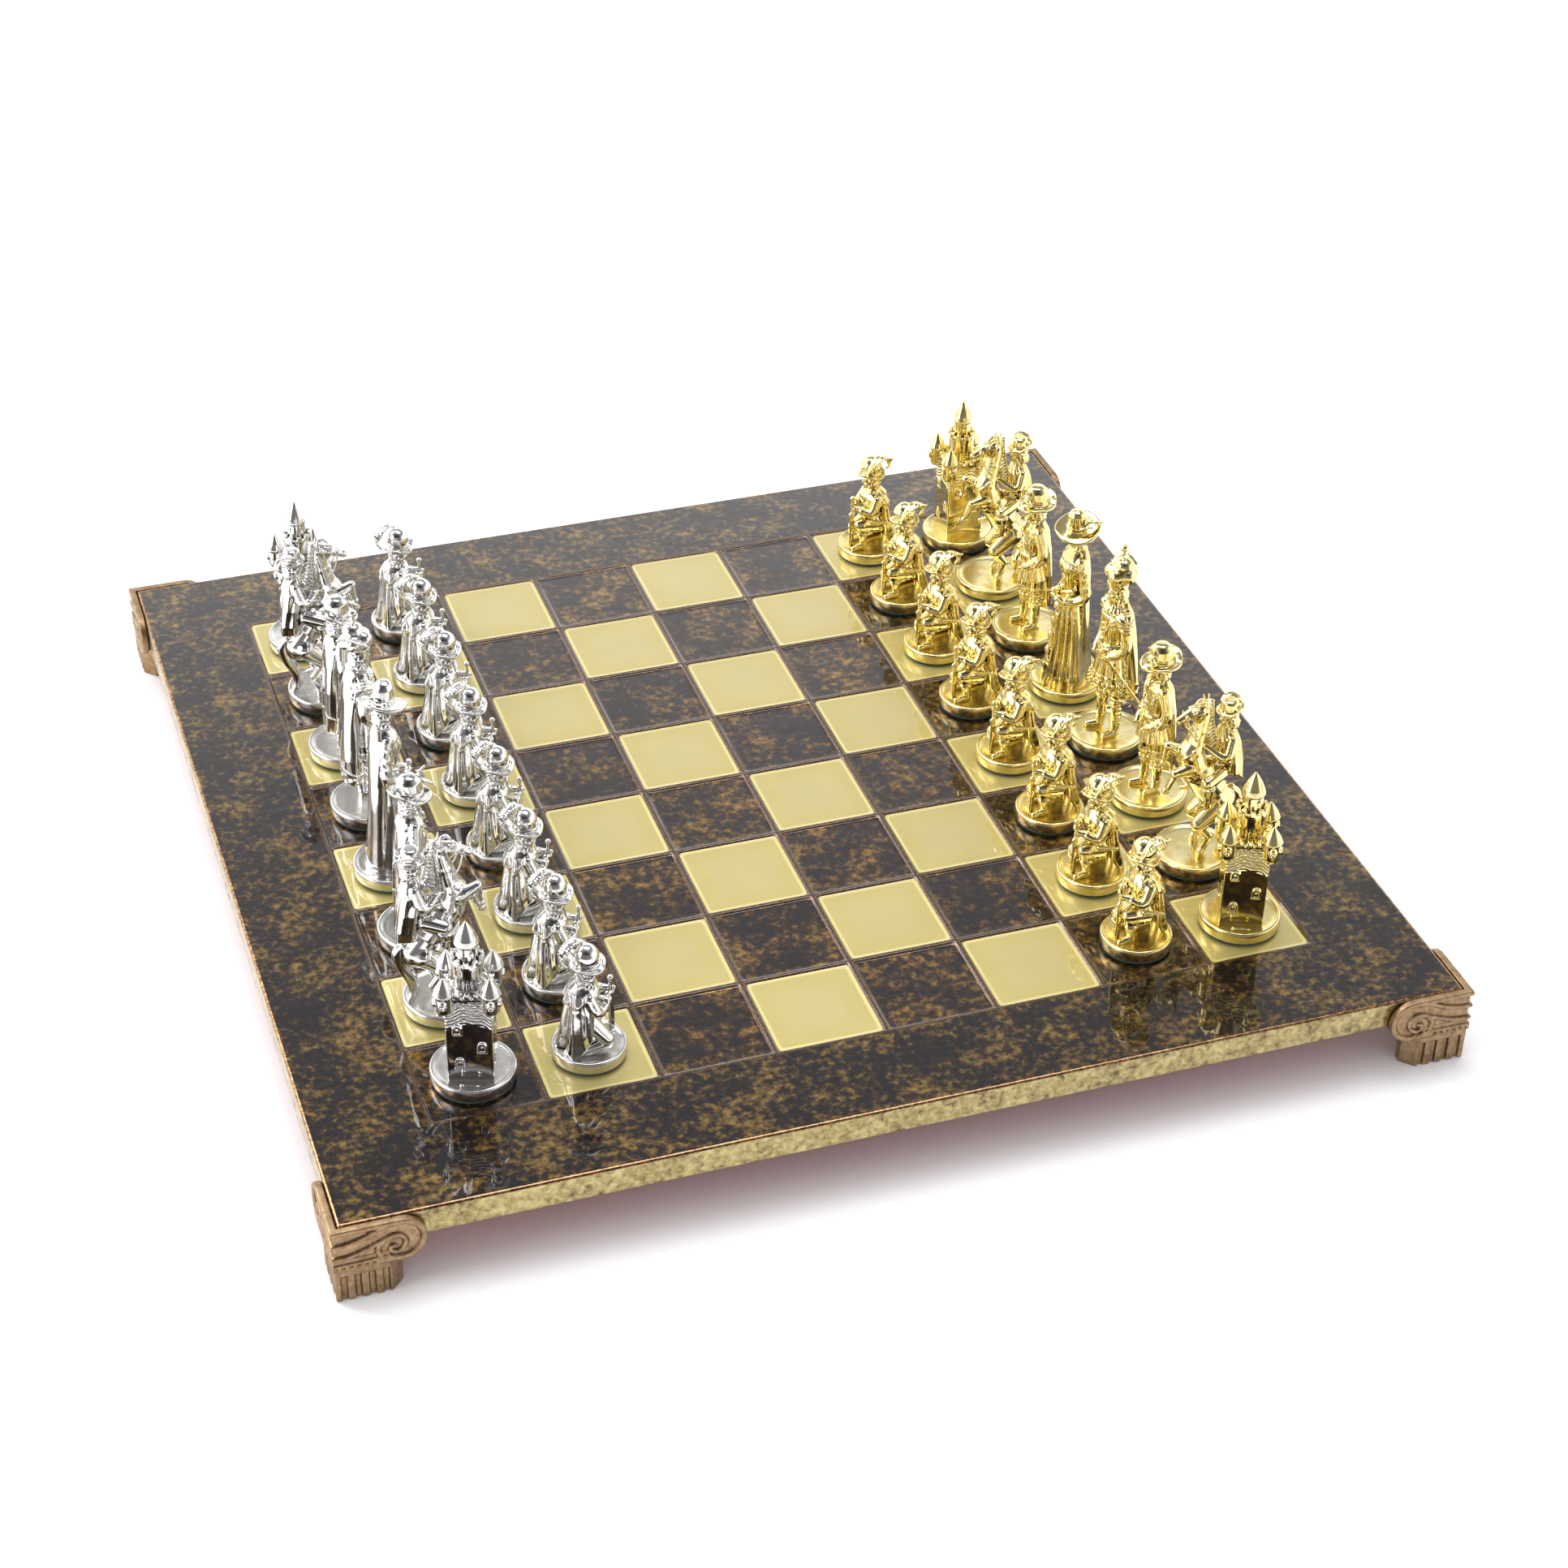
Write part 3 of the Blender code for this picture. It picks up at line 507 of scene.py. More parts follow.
def rook():
    """A square tower with four turrets, battlements and a round keep."""
    c = Clay((-15, -15, 4), (15, 15, 74), 0.33)
    c.add(block((0, 0, 22.8), (8.55, 8.55, 18.2), None, 0.5), 0)
    c.add(block((0, 0, 41.4), (8.8, 8.8, 2.2), None, 0.4), 0.3)
    for sx, sy in ((0, -1), (0, 1), (-1, 0), (1, 0)):
        for u in (-3.4, 0.0, 3.4):
            c.add(block((sx * 8.2 - sy * u, sy * 8.2 + sx * u, 44.2), (0.95, 0.95, 1.2), None, 0.25), 0.15)
    c.add(turned(0, 0, [(40, 5.0), (46, 5.3), (52, 5.8), (54.0, 6.1), (56.0, 6.1)]), 0.3)
    for k in range(10):
        a = math.radians(18 + 36 * k)
        c.add(block((5.4 * math.cos(a), 5.4 * math.sin(a), 56.0), (0.8, 1.0, 1.5),
                    (0, 0, math.degrees(a)), 0.25), 0.1)
    c.add(turned(0, 0, [(54, 4.2), (62.6, 4.1)]), 0)
    for k in range(5):
        a = math.radians(10 + 72 * k)
        c.cut(ball((4.3 * math.cos(a), 4.3 * math.sin(a), 59.6), (0.7, 0.7, 1.3)), 0.15)
    c.add(turned(0, 0, [(62.2, 4.3), (62.9, 4.7), (65.0, 4.1), (68.0, 2.8), (70.6, 1.3), (72.2, 0.2)]), 0)
    for x in (-8.4, 8.4):
        for y in (-8.4, 8.4):
            c.add(turned(x, y, [(35.6, 0.8), (36.6, 2.4), (38.4, 3.3), (45.8, 3.4)]), 0.25)
            c.add(turned(x, y, [(45.2, 3.7), (45.9, 4.1), (48.2, 3.2), (50.6, 1.7), (52.8, 0.2)]), 0)
            out = math.atan2(y, x)
            for turn in (out - 0.7, out + 0.7):
                at = (x + 3.1 * math.cos(turn), y + 3.1 * math.sin(turn), 42.0)
                c.add(ball(at, (1.6, 1.6, 1.9)), 0.15)
                c.cut(ball((at[0] + 1.4 * math.cos(turn), at[1] + 1.4 * math.sin(turn), 42.0),
                           (1.0, 1.0, 1.2)), 0.15)
    # courses of rough stone under the battlements
    def courses(x, y, z):
        along = np.where(np.abs(x) > np.abs(y), y, x)
        bow = 0.045 * along**2
        row = (z + bow + 0.45 * np.sin(along * 0.9)) / 1.5
        joint = np.abs(row - np.rint(row))
        brick = np.abs((along / 3.1 + 0.5 * np.mod(np.rint(row), 2)) % 1 - 0.5)
        mark = ramp(0.24 - joint, 0, 0.16) + 0.5 * ramp(0.1 - brick, 0, 0.08)
        return -0.42 * np.clip(mark, 0, 1) * ramp(z + bow, 31.0, 33.5)

    c.push((-9.6, -9.6, 28), (9.6, 9.6, 41.5), courses)
    # windows with raised arched frames
    for sx, sy in ((0, -1), (0, 1), (-1, 0), (1, 0)):
        for u, z in ((-4.2, 28.5), (4.6, 20.3), (-3.8, 13.0)):
            x, y = sx * 8.5 - sy * u, sy * 8.5 + sx * u
            c.add(block((x, y, z - 0.4), (0.5 + 1.25 * abs(sy), 0.5 + 1.25 * abs(sx), 1.9),
                        None, 0.3), 0.15)
            c.add(ball((x, y, z + 1.4), (0.5 + 1.25 * abs(sy), 0.5 + 1.25 * abs(sx), 1.4)), 0.15)
            c.cut(block((x + sx * 0.6, y + sy * 0.6, z - 0.4),
                        (0.5 + 0.5 * abs(sy), 0.5 + 0.5 * abs(sx), 1.2), None, 0.1), 0.1)
            c.cut(ball((x + sx * 0.6, y + sy * 0.6, z + 0.8), (0.8, 0.8, 0.9)), 0.1)
    c.add(limb([(-2.6, -12.4, 5.9, 0.35), (2.8, -12.4, 5.9, 0.35)]), 0.1)
    c.add(ball((-3.2, -12.5, 6.0), 0.75), 0.1)
    c.add(block((3.0, -12.2, 5.9), (0.5, 0.9, 0.4), None, 0.2), 0.1)
    return c


def knight():
    """A rider on a rearing horse, a sword held up."""
    c = Clay((-21, -14, 4), (23, 14, 81))
    # horse
    c.add(limb([(-9.5, 0, 27.5, 6.3), (-3, 0, 36, 6.2), (3.5, 0, 46, 6.0), (5.2, 0, 54, 4.9)]), 1.2)
    c.add(ball((6.2, 0, 52.0), (4.8, 4.6, 5.6)), 1.0)
    c.add(limb([(4.6, 0, 55, 4.4), (2.6, 0, 64, 3.4), (1.2, 0, 70.5, 2.8)]), 1.0)
    c.add(limb([(1.6, 0, 73.0, 2.9), (6.4, 0, 72.2, 2.3), (11.8, 0, 69.4, 1.6)]), 0.6)
    c.add(ball((12.2, 0, 69.3), (1.7, 1.6, 1.6)), 0.4)
    c.add(ball((4.4, 0, 70.6), (3.0, 2.3, 2.6)), 0.6)
    for side in (-1, 1):
        c.add(limb([(0.8, side * 1.6, 75.0, 1.0), (1.4, side * 1.9, 78.6, 0.35)]), 0.2)
        c.add(ball((6.2, side * 2.1, 73.2), (0.75, 0.5, 0.6)), 0.1)
        c.add(limb([(4.8, side * 1.9, 74.4, 0.35), (7.2, side * 1.9, 73.9, 0.3)]), 0.1)
        c.cut(ball((13.2, side * 1.2, 69.9), 0.45), 0.1)
        c.add(bent([(9.6, side * 1.9, 72.4, 0.45), (9.2, side * 2.1, 70.2, 0.45),
                    (9.0, side * 1.2, 68.4, 0.45)]), 0.1)
        c.add(bent([(2.2, side * 2.7, 75.0, 0.45), (2.8, side * 2.7, 71.6, 0.45),
                    (3.8, side * 1.9, 68.6, 0.45)]), 0.1)
        c.add(limb([(2.8, side * 2.7, 73.0, 0.4), (9.4, side * 2.1, 71.2, 0.4)]), 0.1)
        c.add(ball((9.3, side * 2.2, 71.0), 0.75), 0.1)
        c.add(bent([(9.4, side * 2.2, 70.2, 0.45), (7.4, side * 3.0, 64.5, 0.42),
                    (4.2, side * 3.2, 60.4, 0.42), (1.0, side * 1.2, 58.2, 0.45)]), 0.1)
        c.add(bent([(5.6, side * 4.4, 57, 0.55), (9.2, side * 3.2, 53, 0.6), (10.8, 0, 50.6, 0.65)]), 0.15)
        # hind legs
        far = 1.0 if side > 0 else 0.0
        c.add(limb([(-7.5, side * 4.0, 27.5, 4.6), (-0.5 + far * 2, side * 5.0, 20.5, 3.0)]), 1.0)
        c.add(limb([(-0.5 + far * 2, side * 5.0, 20.5, 2.7), (-5.6 + far * 2, side * 5.2, 14.0, 1.8),
                    (-3.2 + far * 2, side * 5.3, 7.6, 1.5)]), 0.4)
        c.add(turned(-3.0 + far * 2, side * 5.3, [(5.0, 2.2), (6.6, 2.1), (8.4, 1.6)]), 0.2)
    # forelegs
    c.add(limb([(7.2, -3.0, 51.5, 3.0), (13.8, -3.6, 55.6, 1.9)]), 0.8)
    c.add(limb([(13.8, -3.6, 55.6, 1.8), (14.6, -3.8, 49.6, 1.25)]), 0.2)
    c.add(ball((15.0, -3.8, 47.8), (1.6, 1.4, 1.4)), 0.3)
    c.add(limb([(6.6, 3.0, 47.5, 3.0), (13.2, 3.6, 46.6, 1.9), (15.8, 3.8, 41.0, 1.3)]), 0.5)
    c.add(ball((16.6, 3.8, 39.4), (1.7, 1.4, 1.4)), 0.3)
    # tail, mane
    c.add(bent([(-14.4, 0, 32.4, 1.5), (-16.8, 0.2, 28.0, 2.1), (-15.6, 0.4, 22.0, 2.3),
                (-12.4, 0.2, 15.0, 2.2), (-11.6, 0, 9.0, 1.7), (-13.4, 0, 5.2, 1.3)]), 0.5)
    c.push((-19.5, -3, 5), (-8, 3, 32), lambda x, y, z: 0.35 * np.sin(3.4 * y + 0.5 * x + 0.1 * z))
    for k in range(13):
        t = k / 12
        x, z = -0.6 - 3.6 * t + 0.8 * math.sin(3 * t), 76.4 - 19.5 * t
        c.add(limb([(x + 1.9, -1.4, z - 1.2, 0.75), (x - 0.6, -0.5, z - 0.1, 0.75),
                    (x - 1.2, 0.6, z + 0.2, 0.7)]), 0.12)
        c.add(limb([(x + 1.9, 1.4, z - 1.2, 0.7), (x - 0.6, 0.4, z - 0.1, 0.7)]), 0.12)
    c.add(bent([(2.2, 0, 77.4, 0.8), (4.0, 0.4, 77.6, 0.8), (5.6, 0.2, 76.0, 0.55)]), 0.2)
    # saddle cloth
    cloth = limb([(-6.5, 0, 33.5, 6.9), (0.8, 0, 43.5, 6.8)])
    c.add((lambda x, y, z: np.maximum(cloth[0](x, y, z), 35.2 - 0.35 * np.abs(y) - z - 0.7 * (x + 3)),
           cloth[1], cloth[2]), 0.3)
    # rider
    c.add(limb([(-7.4, 0, 45, 3.6), (-9.6, 0, 56, 3.6)]), 0.8)
    c.add(ball((-9.8, 0, 56.8), (3.7, 5.0, 4.6)), 0.8)
    for side in (-1, 1):
        c.add(limb([(-6.8, side * 4.0, 43.4, 3.0), (0.4, side * 7.4, 41.6, 2.5)]), 0.6)
        c.add(limb([(0.4, side * 7.4, 41.6, 2.4), (-0.4, side * 7.6, 34.6, 1.9),
                    (0.2, side * 7.6, 31.4, 1.5)]), 0.4)
        c.add(turned(0.2, side * 7.5, [(36.8, 2.5), (39.6, 3.2), (40.2, 3.2)]), 0.2)
        c.add(limb([(-0.2, side * 7.6, 30.8, 1.4), (4.0, side * 7.9, 30.4, 1.0)]), 0.3)
    c.add(bent([(-10, -4.8, 58.6, 2.1), (-7.4, -7.0, 51.8, 2.0), (-1.8, -4.0, 54.6, 1.4)]), 0.4)
    c.add(bent([(-10, 4.8, 58.6, 2.1), (-6.6, 6.8, 52.4, 2.0), (0.2, 2.6, 56.6, 1.4)]), 0.4)
    c.add(turned(-4.4, -6.0, [(51.0, 2.2), (53.4, 2.6)], (0.3, 0.2)), 0.2)
    hand(c, -0.8, -3.2, 55.0)
    hand(c, 0.9, 2.0, 57.0)
    hilt(c, -0.6, -3.0, 54.0, 49.0, (0.8, 0.3))
    c.add(limb([(-0.6, -3.0, 54, 0.8), (-2.6, -5.0, 76.0, 0.45)]), 0.15)
    cape = [(34.0, -13.0, 0, 4.8, 5.0), (40, -13.0, 0, 4.8, 6.6), (48, -12.2, 0, 4.8, 6.8),
            (56, -11.0, 0, 4.6, 6.0), (60.5, -10.2, 0, 3.6, 4.4), (63, -9.8, 0, 2.2, 2.6)]
    c.add(gown(cape, soft_folds(0.8, 2.6, 0.5, 0.05, 50, (60, 52)),
               lambda x, y, z: np.maximum(x + 8.6, 38.4 + 0.55 * y + 0.55 * (x + 13) - z)), 0.3)
    collar = [(54.0, -10.6, 0, 5.0, 6.8), (58, -10.4, 0, 4.5, 5.8), (61.6, -10.0, 0, 3.2, 3.8),
              (63.8, -9.8, 0, 2.4, 2.7)]
    c.add(gown(collar, soft_folds(0.45, 5, 0, -0.3, 58), scallops(55.0, 0.8, 6, -10.4)), 0.15)
    head(c, -9.4, 0, 67.2)
    curls(c, -9.8, 0, 68.0, 63.8, 2.8)
    c.add(turned(-9.8, 0, [(69.6, 3.6), (72.0, 3.9), (74.6, 3.4), (75.4, 2.4)]), 0.3)
    c.add(turned(-9.8, 0, [(70.4, 4.2), (71.4, 4.2)]), 0.15)
    c.add(brim((-9.8, 0, 69.8), (5.6, 5.4), 1.1, (0, -4, 0),
               lambda a: 3.2 * ramp(np.cos(a - 2.4), 0.4, 1.0)), 0.25)
    plume(c, [(-8.2, -3.6, 72.4), (-11.0, -4.6, 74.2), (-14.2, -3.4, 73.4), (-16.4, -1.6, 70.6)], 1.6)
    return c


def bishop():
    """A standing gentleman in a long coat, cape and feathered hat."""
    c = Clay((-15, -14, 4), (14, 14, 79))
    coat = [(31.5, -0.2, 0, 7.4, 8.6), (36, 0, 0, 6.4, 7.6), (42.6, 0.2, 0, 4.8, 5.9),
            (50, 0.3, 0, 5.3, 6.8), (56, 0, 0, 4.4, 6.2), (59, -0.2, 0, 2.4, 3.2)]

    def coat_folds(a, z):
        return -0.6 * (1 - pleats(5 * a + 0.02 * z)) * ramp(z, 42.5,
                                                            38) - 0.5 * ramp(0.13 - np.abs(a), 0, 0.1)

    c.add(gown(coat, coat_folds), 0.3)
    c.add(turned(0.2, 0, [(41.4, 6.0), (43.8, 6.0)]), 0.2)
    c.add(gown([(41.4, 0.2, 0, 5.6, 6.7), (43.9, 0.2, 0, 5.6, 6.7)]), 0.15)
    c.add(block((5.9, 0.2, 42.6), (0.6, 1.6, 1.5), None, 0.3), 0.15)
    # sash from the right shoulder to the left hip
    c.band((-7, -8, 40), (8, 8, 60), lambda x, y, z: np.abs(z - 50.5 + 1.05 * y) - 1.25, 0.5)
    for z in (46.5, 49, 51.5, 54):
        c.add(ball((5.6, -0.7, z), 0.5), 0.1)
    # breeches and boots
    for side, x in ((-1, 0.8), (1, -1.2)):
        c.add(limb([(x - 0.6, side * 3.2, 33, 3.9), (x, side * 3.6, 24.0, 3.0)]), 0.8)
        c.add(limb([(x, side * 3.6, 24, 2.4), (x - 0.2, side * 3.7, 12, 2.1),
                    (x, side * 3.7, 7.4, 1.8)]), 0.4)
        for low, wide in ((21.6, 3.3), (18.4, 3.0)):
            c.add(turned(x, side * 3.6, [(low, wide - 0.4), (low + 0.6, wide), (low + 1.6, wide),
                                         (low + 2.2, wide - 0.5)]), 0.2)
        c.push((x - 4, side * 3.6 - 4, 17.5), (x + 4, side * 3.6 + 4, 24.5),
               lambda px, py, pz, x=x, side=side: 0.25 * np.sin(9 * np.arctan2(py - side * 3.6, px - x)))
        c.add(limb([(x, side * 3.8, 6.8, 1.9), (x + 4.8, side * 4.8, 6.2, 1.35)]), 0.5)
        c.add(block((x - 1.2, side * 3.8, 5.6), (1.1, 1.4, 0.9), None, 0.3), 0.2)
    # cape
    cape = [(13.0, -5.6, 0, 3.6, 6.6), (22, -5.4, 0, 3.8, 8.6), (34, -4.8, 0, 4.0, 8.9),
            (46, -3.8, 0, 4.0, 8.2), (55, -2.6, 0, 3.8, 6.8), (59.6, -1.8, 0, 2.2, 3.6)]
    c.add(gown(cape, soft_folds(0.9, 2.2, 0.3, 0.035, 30, (57, 40)), open_cape(2.8, 0.03, 14.2, 0.4)), 0.3)
    c.groove((-14, -12, 12), (2, 12, 40), lambda x, y, z: np.abs(z - 24.5 - 0.35 * y) - 0.3, 0.35)
    # shoulder cape and arms
    collar = [(53.0, -0.8, 0, 5.9, 7.9), (56.4, -0.7, 0, 5.2, 7.0), (59.0, -0.5, 0, 3.4, 4.2),
              (60.6, -0.4, 0, 2.5, 2.8)]
    c.add(gown(collar, soft_folds(0.3, 4), lambda x, y, z: x - 3.4 + 0.5 * (z - 55)), 0.2)
    for side in (-1, 1):
        c.add(bent([(0.0, side * 6.2, 55.6, 2.4), (-0.8, side * 8.6, 47.6, 2.3),
                    (0.2, side * 8.2, 43.2, 2.2), (5.2, side * 4.4, 38.6, 1.7)]), 0.4)
        c.add(turned(1.6, side * 7.4, [(40.0, 2.4), (43.4, 2.7)], (-0.5, side * 0.3)), 0.2)
        for k in range(7):
            a = k * 0.9
            c.add(ball((4.0 + 1.5 * math.cos(a), side * 5.0 + 1.5 * math.sin(a), 39.8), 0.75), 0.1)
        hand(c, 6.0, side * 3.4, 37.8, 1.45)
    lace(c, 0.6, 0, 59.6, 3.0, 11, 0.8)
    c.add(bent([(3.0, 0, 59.0, 0.9), (4.4, 0.1, 57.4, 1.0), (4.9, 0, 55.4, 0.8)]), 0.2)
    c.add(bent([(4.6, -5.6, 43.0, 0.7), (0, -9.6, 33.0, 0.6), (-5.0, -11.0, 22, 0.45)]), 0.15)
    # head, hat, feather
    head(c, 0.4, 0, 64.4)
    curls(c, 0.0, 0, 65.6, 60.6, 3.0, 1.15, 70)
    c.add(turned(-0.2, 0, [(66.8, 4.9), (70.6, 5.3), (74.0, 4.7), (76.0, 2.8), (76.4, 1.2)]), 0.3)
    c.add(turned(-0.2, 0, [(68.2, 5.65), (69.6, 5.65)]), 0.15)
    c.add(brim((-0.2, 0, 67.4), (8.8, 8.2), 1.25, (0, 2, 0),
               lambda a: 3.6 * ramp(np.cos(a + 2.6), 0.35, 1.0) - 0.7 * ramp(np.cos(a), 0.4, 1)), 0.3)
    plume(c, [(3.6, 3.8, 69.6), (5.4, 3.6, 72.4), (5.0, 3.0, 75.2), (6.8, 2.8, 77.0)], 1.5)
    plume(c, [(3.6, 3.8, 69.6), (7.0, 4.0, 69.8), (9.4, 3.4, 68.2)], 1.6)
    return c


def queen():
    """A lady in a wide gown, veil and broad hat."""
    c = Clay((-15, -14, 4), (16, 14, 92))
    skirt = [(5.0, 0.6, 0, 10.4, 11.6), (10, 0.8, 0, 9.6, 10.8), (24, 1.0, 0, 7.6, 8.8),
             (36, 0.9, 0, 6.4, 7.4), (47, 0.6, 0, 4.8, 5.6), (51.5, 0.6, 0, 3.6, 4.4),
             (58, 0.8, 0, 4.3, 5.4), (63, 0.9, 0, 5.0, 6.4), (67, 0.2, 0, 4.0, 6.2),
             (70.5, -0.4, 0, 2.2, 3.2)]

    def skirt_folds(a, z):
        front = ramp(np.cos(a), -0.2, 0.5)
        fine = drape(8 * a + 0.3 * np.sin(0.18 * z) + 0.4 * np.sin(3 * a))
        broad = drape(2.0 * a + 1.2)
        hem = 0.8 * np.sin(16 * a) * ramp(z, 9.5, 5.5)
        return (-1.5 * (1 - fine) * front - 0.7 * (1 - broad) * (1 - front) + hem * front) * ramp(z, 49, 34)

    c.add(gown(skirt, skirt_folds), 0.3)
    c.band((-8, -9, 46), (9, 9, 56), lambda x, y, z: np.abs(z - 50.6 - 0.3 * np.abs(y) + 0.25 * x) - 0.45,
           0.4)
    c.push((-2, -6, 52), (8, 6, 64), lambda x, y, z: 0.25 * np.abs(np.sin(1.3 * y)) * ramp(z, 52, 54))
    for side in (-1, 1):
        c.add(ball((3.7, side * 2.3, 61.6), (2.4, 2.3, 2.3)), 0.8)
    # lace round the neckline and down the front
    c.add(gown([(63.6, 0.4, 0, 5.4, 7.4), (66.2, 0.2, 0, 4.8, 7.0), (68.6, -0.1, 0, 3.2, 4.8)],
               lambda a, z: -0.6 * (1 - pleats(9 * a)), scallops(64.4, 0.7, 8)), 0.15)
    for k in range(9):
        z = 62.5 - k * 1.7
        c.add(ball((4.9 - 0.05 * k, 0.5 * (-1) ** k, z), (0.9, 0.9, 1.1)), 0.25)
    for k in range(10):
        z = 44 - k * 3.7
        c.add(ball((5.0 + 0.47 * k, 1.2 * (-1) ** k - 2.4, z), (1.1, 1.7, 2.0)), 0.6)
    # arms, hands and cuffs
    for side in (-1, 1):
        c.add(bent([(-0.2, side * 6.0, 66.0, 2.2), (-1.6, side * 8.2, 57, 2.3),
                    (-1.4, side * 8.4, 49.6, 2.5), (4.4, side * 5.4, 46.6, 2.0),
                    (7.6, side * 2.2, 48.0, 1.3)]), 0.4)
        c.push((-5, side * 8.4 - 3, 46), (3, side * 8.4 + 3, 64),
               lambda x, y, z: 0.14 * np.sin(1.3 * z + 1.0 * x))
        for k in range(8):
            a = k * 0.8
            c.add(ball((5.0 + 0.6 * math.cos(a), side * (4.8 + 0.8 * math.cos(a)),
                        46.9 + 1.9 * math.sin(a)), 0.7), 0.12)
        hand(c, 8.2, side * 0.9, 48.4, 1.3)
    c.add(limb([(8.8, -2.2, 47.6, 0.6), (8.8, 2.6, 47.6, 0.6)]), 0.2)
    c.add(ball((9.0, 0.2, 51.0), (1.2, 1.7, 1.4)), 0.3)
    # veil
    veil = [(5.2, -5.8, 0, 5.6, 8.6), (20, -5.0, 0, 4.6, 7.2), (45, -3.4, 0, 4.2, 6.8),
            (60, -2.6, 0, 4.2, 7.2), (67, -2.2, 0, 3.6, 6.4), (73, -1.6, 0, 2.6, 3.4),
            (80, -1.0, 0, 3.0, 3.0)]
    c.add(gown(veil, soft_folds(0.5, 1.6, 0.2, 0.01, 0, (66, 40)), lambda x, y,
               z: x + 2.4 - 0.012 * (z - 40)), 0.3)
    # head and the wide hat
    head(c, 0.6, 0, 76.2, man=False)
    curls(c, 0.2, 0, 77.0, 71.8, 3.0, 1.1, 72)
    c.add(turned(0.0, 0.3, [(79.0, 4.2), (83.6, 4.4), (87.2, 4.0), (89.2, 2.9), (90.0, 1.4)],
                 (0.12, 0.12)), 0.6)
    c.add(turned(0.2, 0.4, [(81.2, 4.8), (82.6, 4.7)]), 0.2)
    c.add(brim((0.0, 0.2, 80.4), (9.9, 9.7), 1.2, (-15, 13, 0),
               lambda a: 0.7 * np.cos(2 * a) + 0.3 * np.cos(3 * a)), 0.4)
    for k in range(6):
        a = 2.6 + 0.42 * k
        c.add(ball((5.0 * math.cos(a), 5.0 * math.sin(a), 82.6 + 0.4 * (k % 2)), (1.3, 1.3, 1.0)), 0.2)
    plume(c, [(1.0, 4.8, 82.6), (-3.0, 6.6, 84.6), (-7.4, 5.2, 84.6), (-10.2, 1.8, 82.2)], 1.7)
    return c


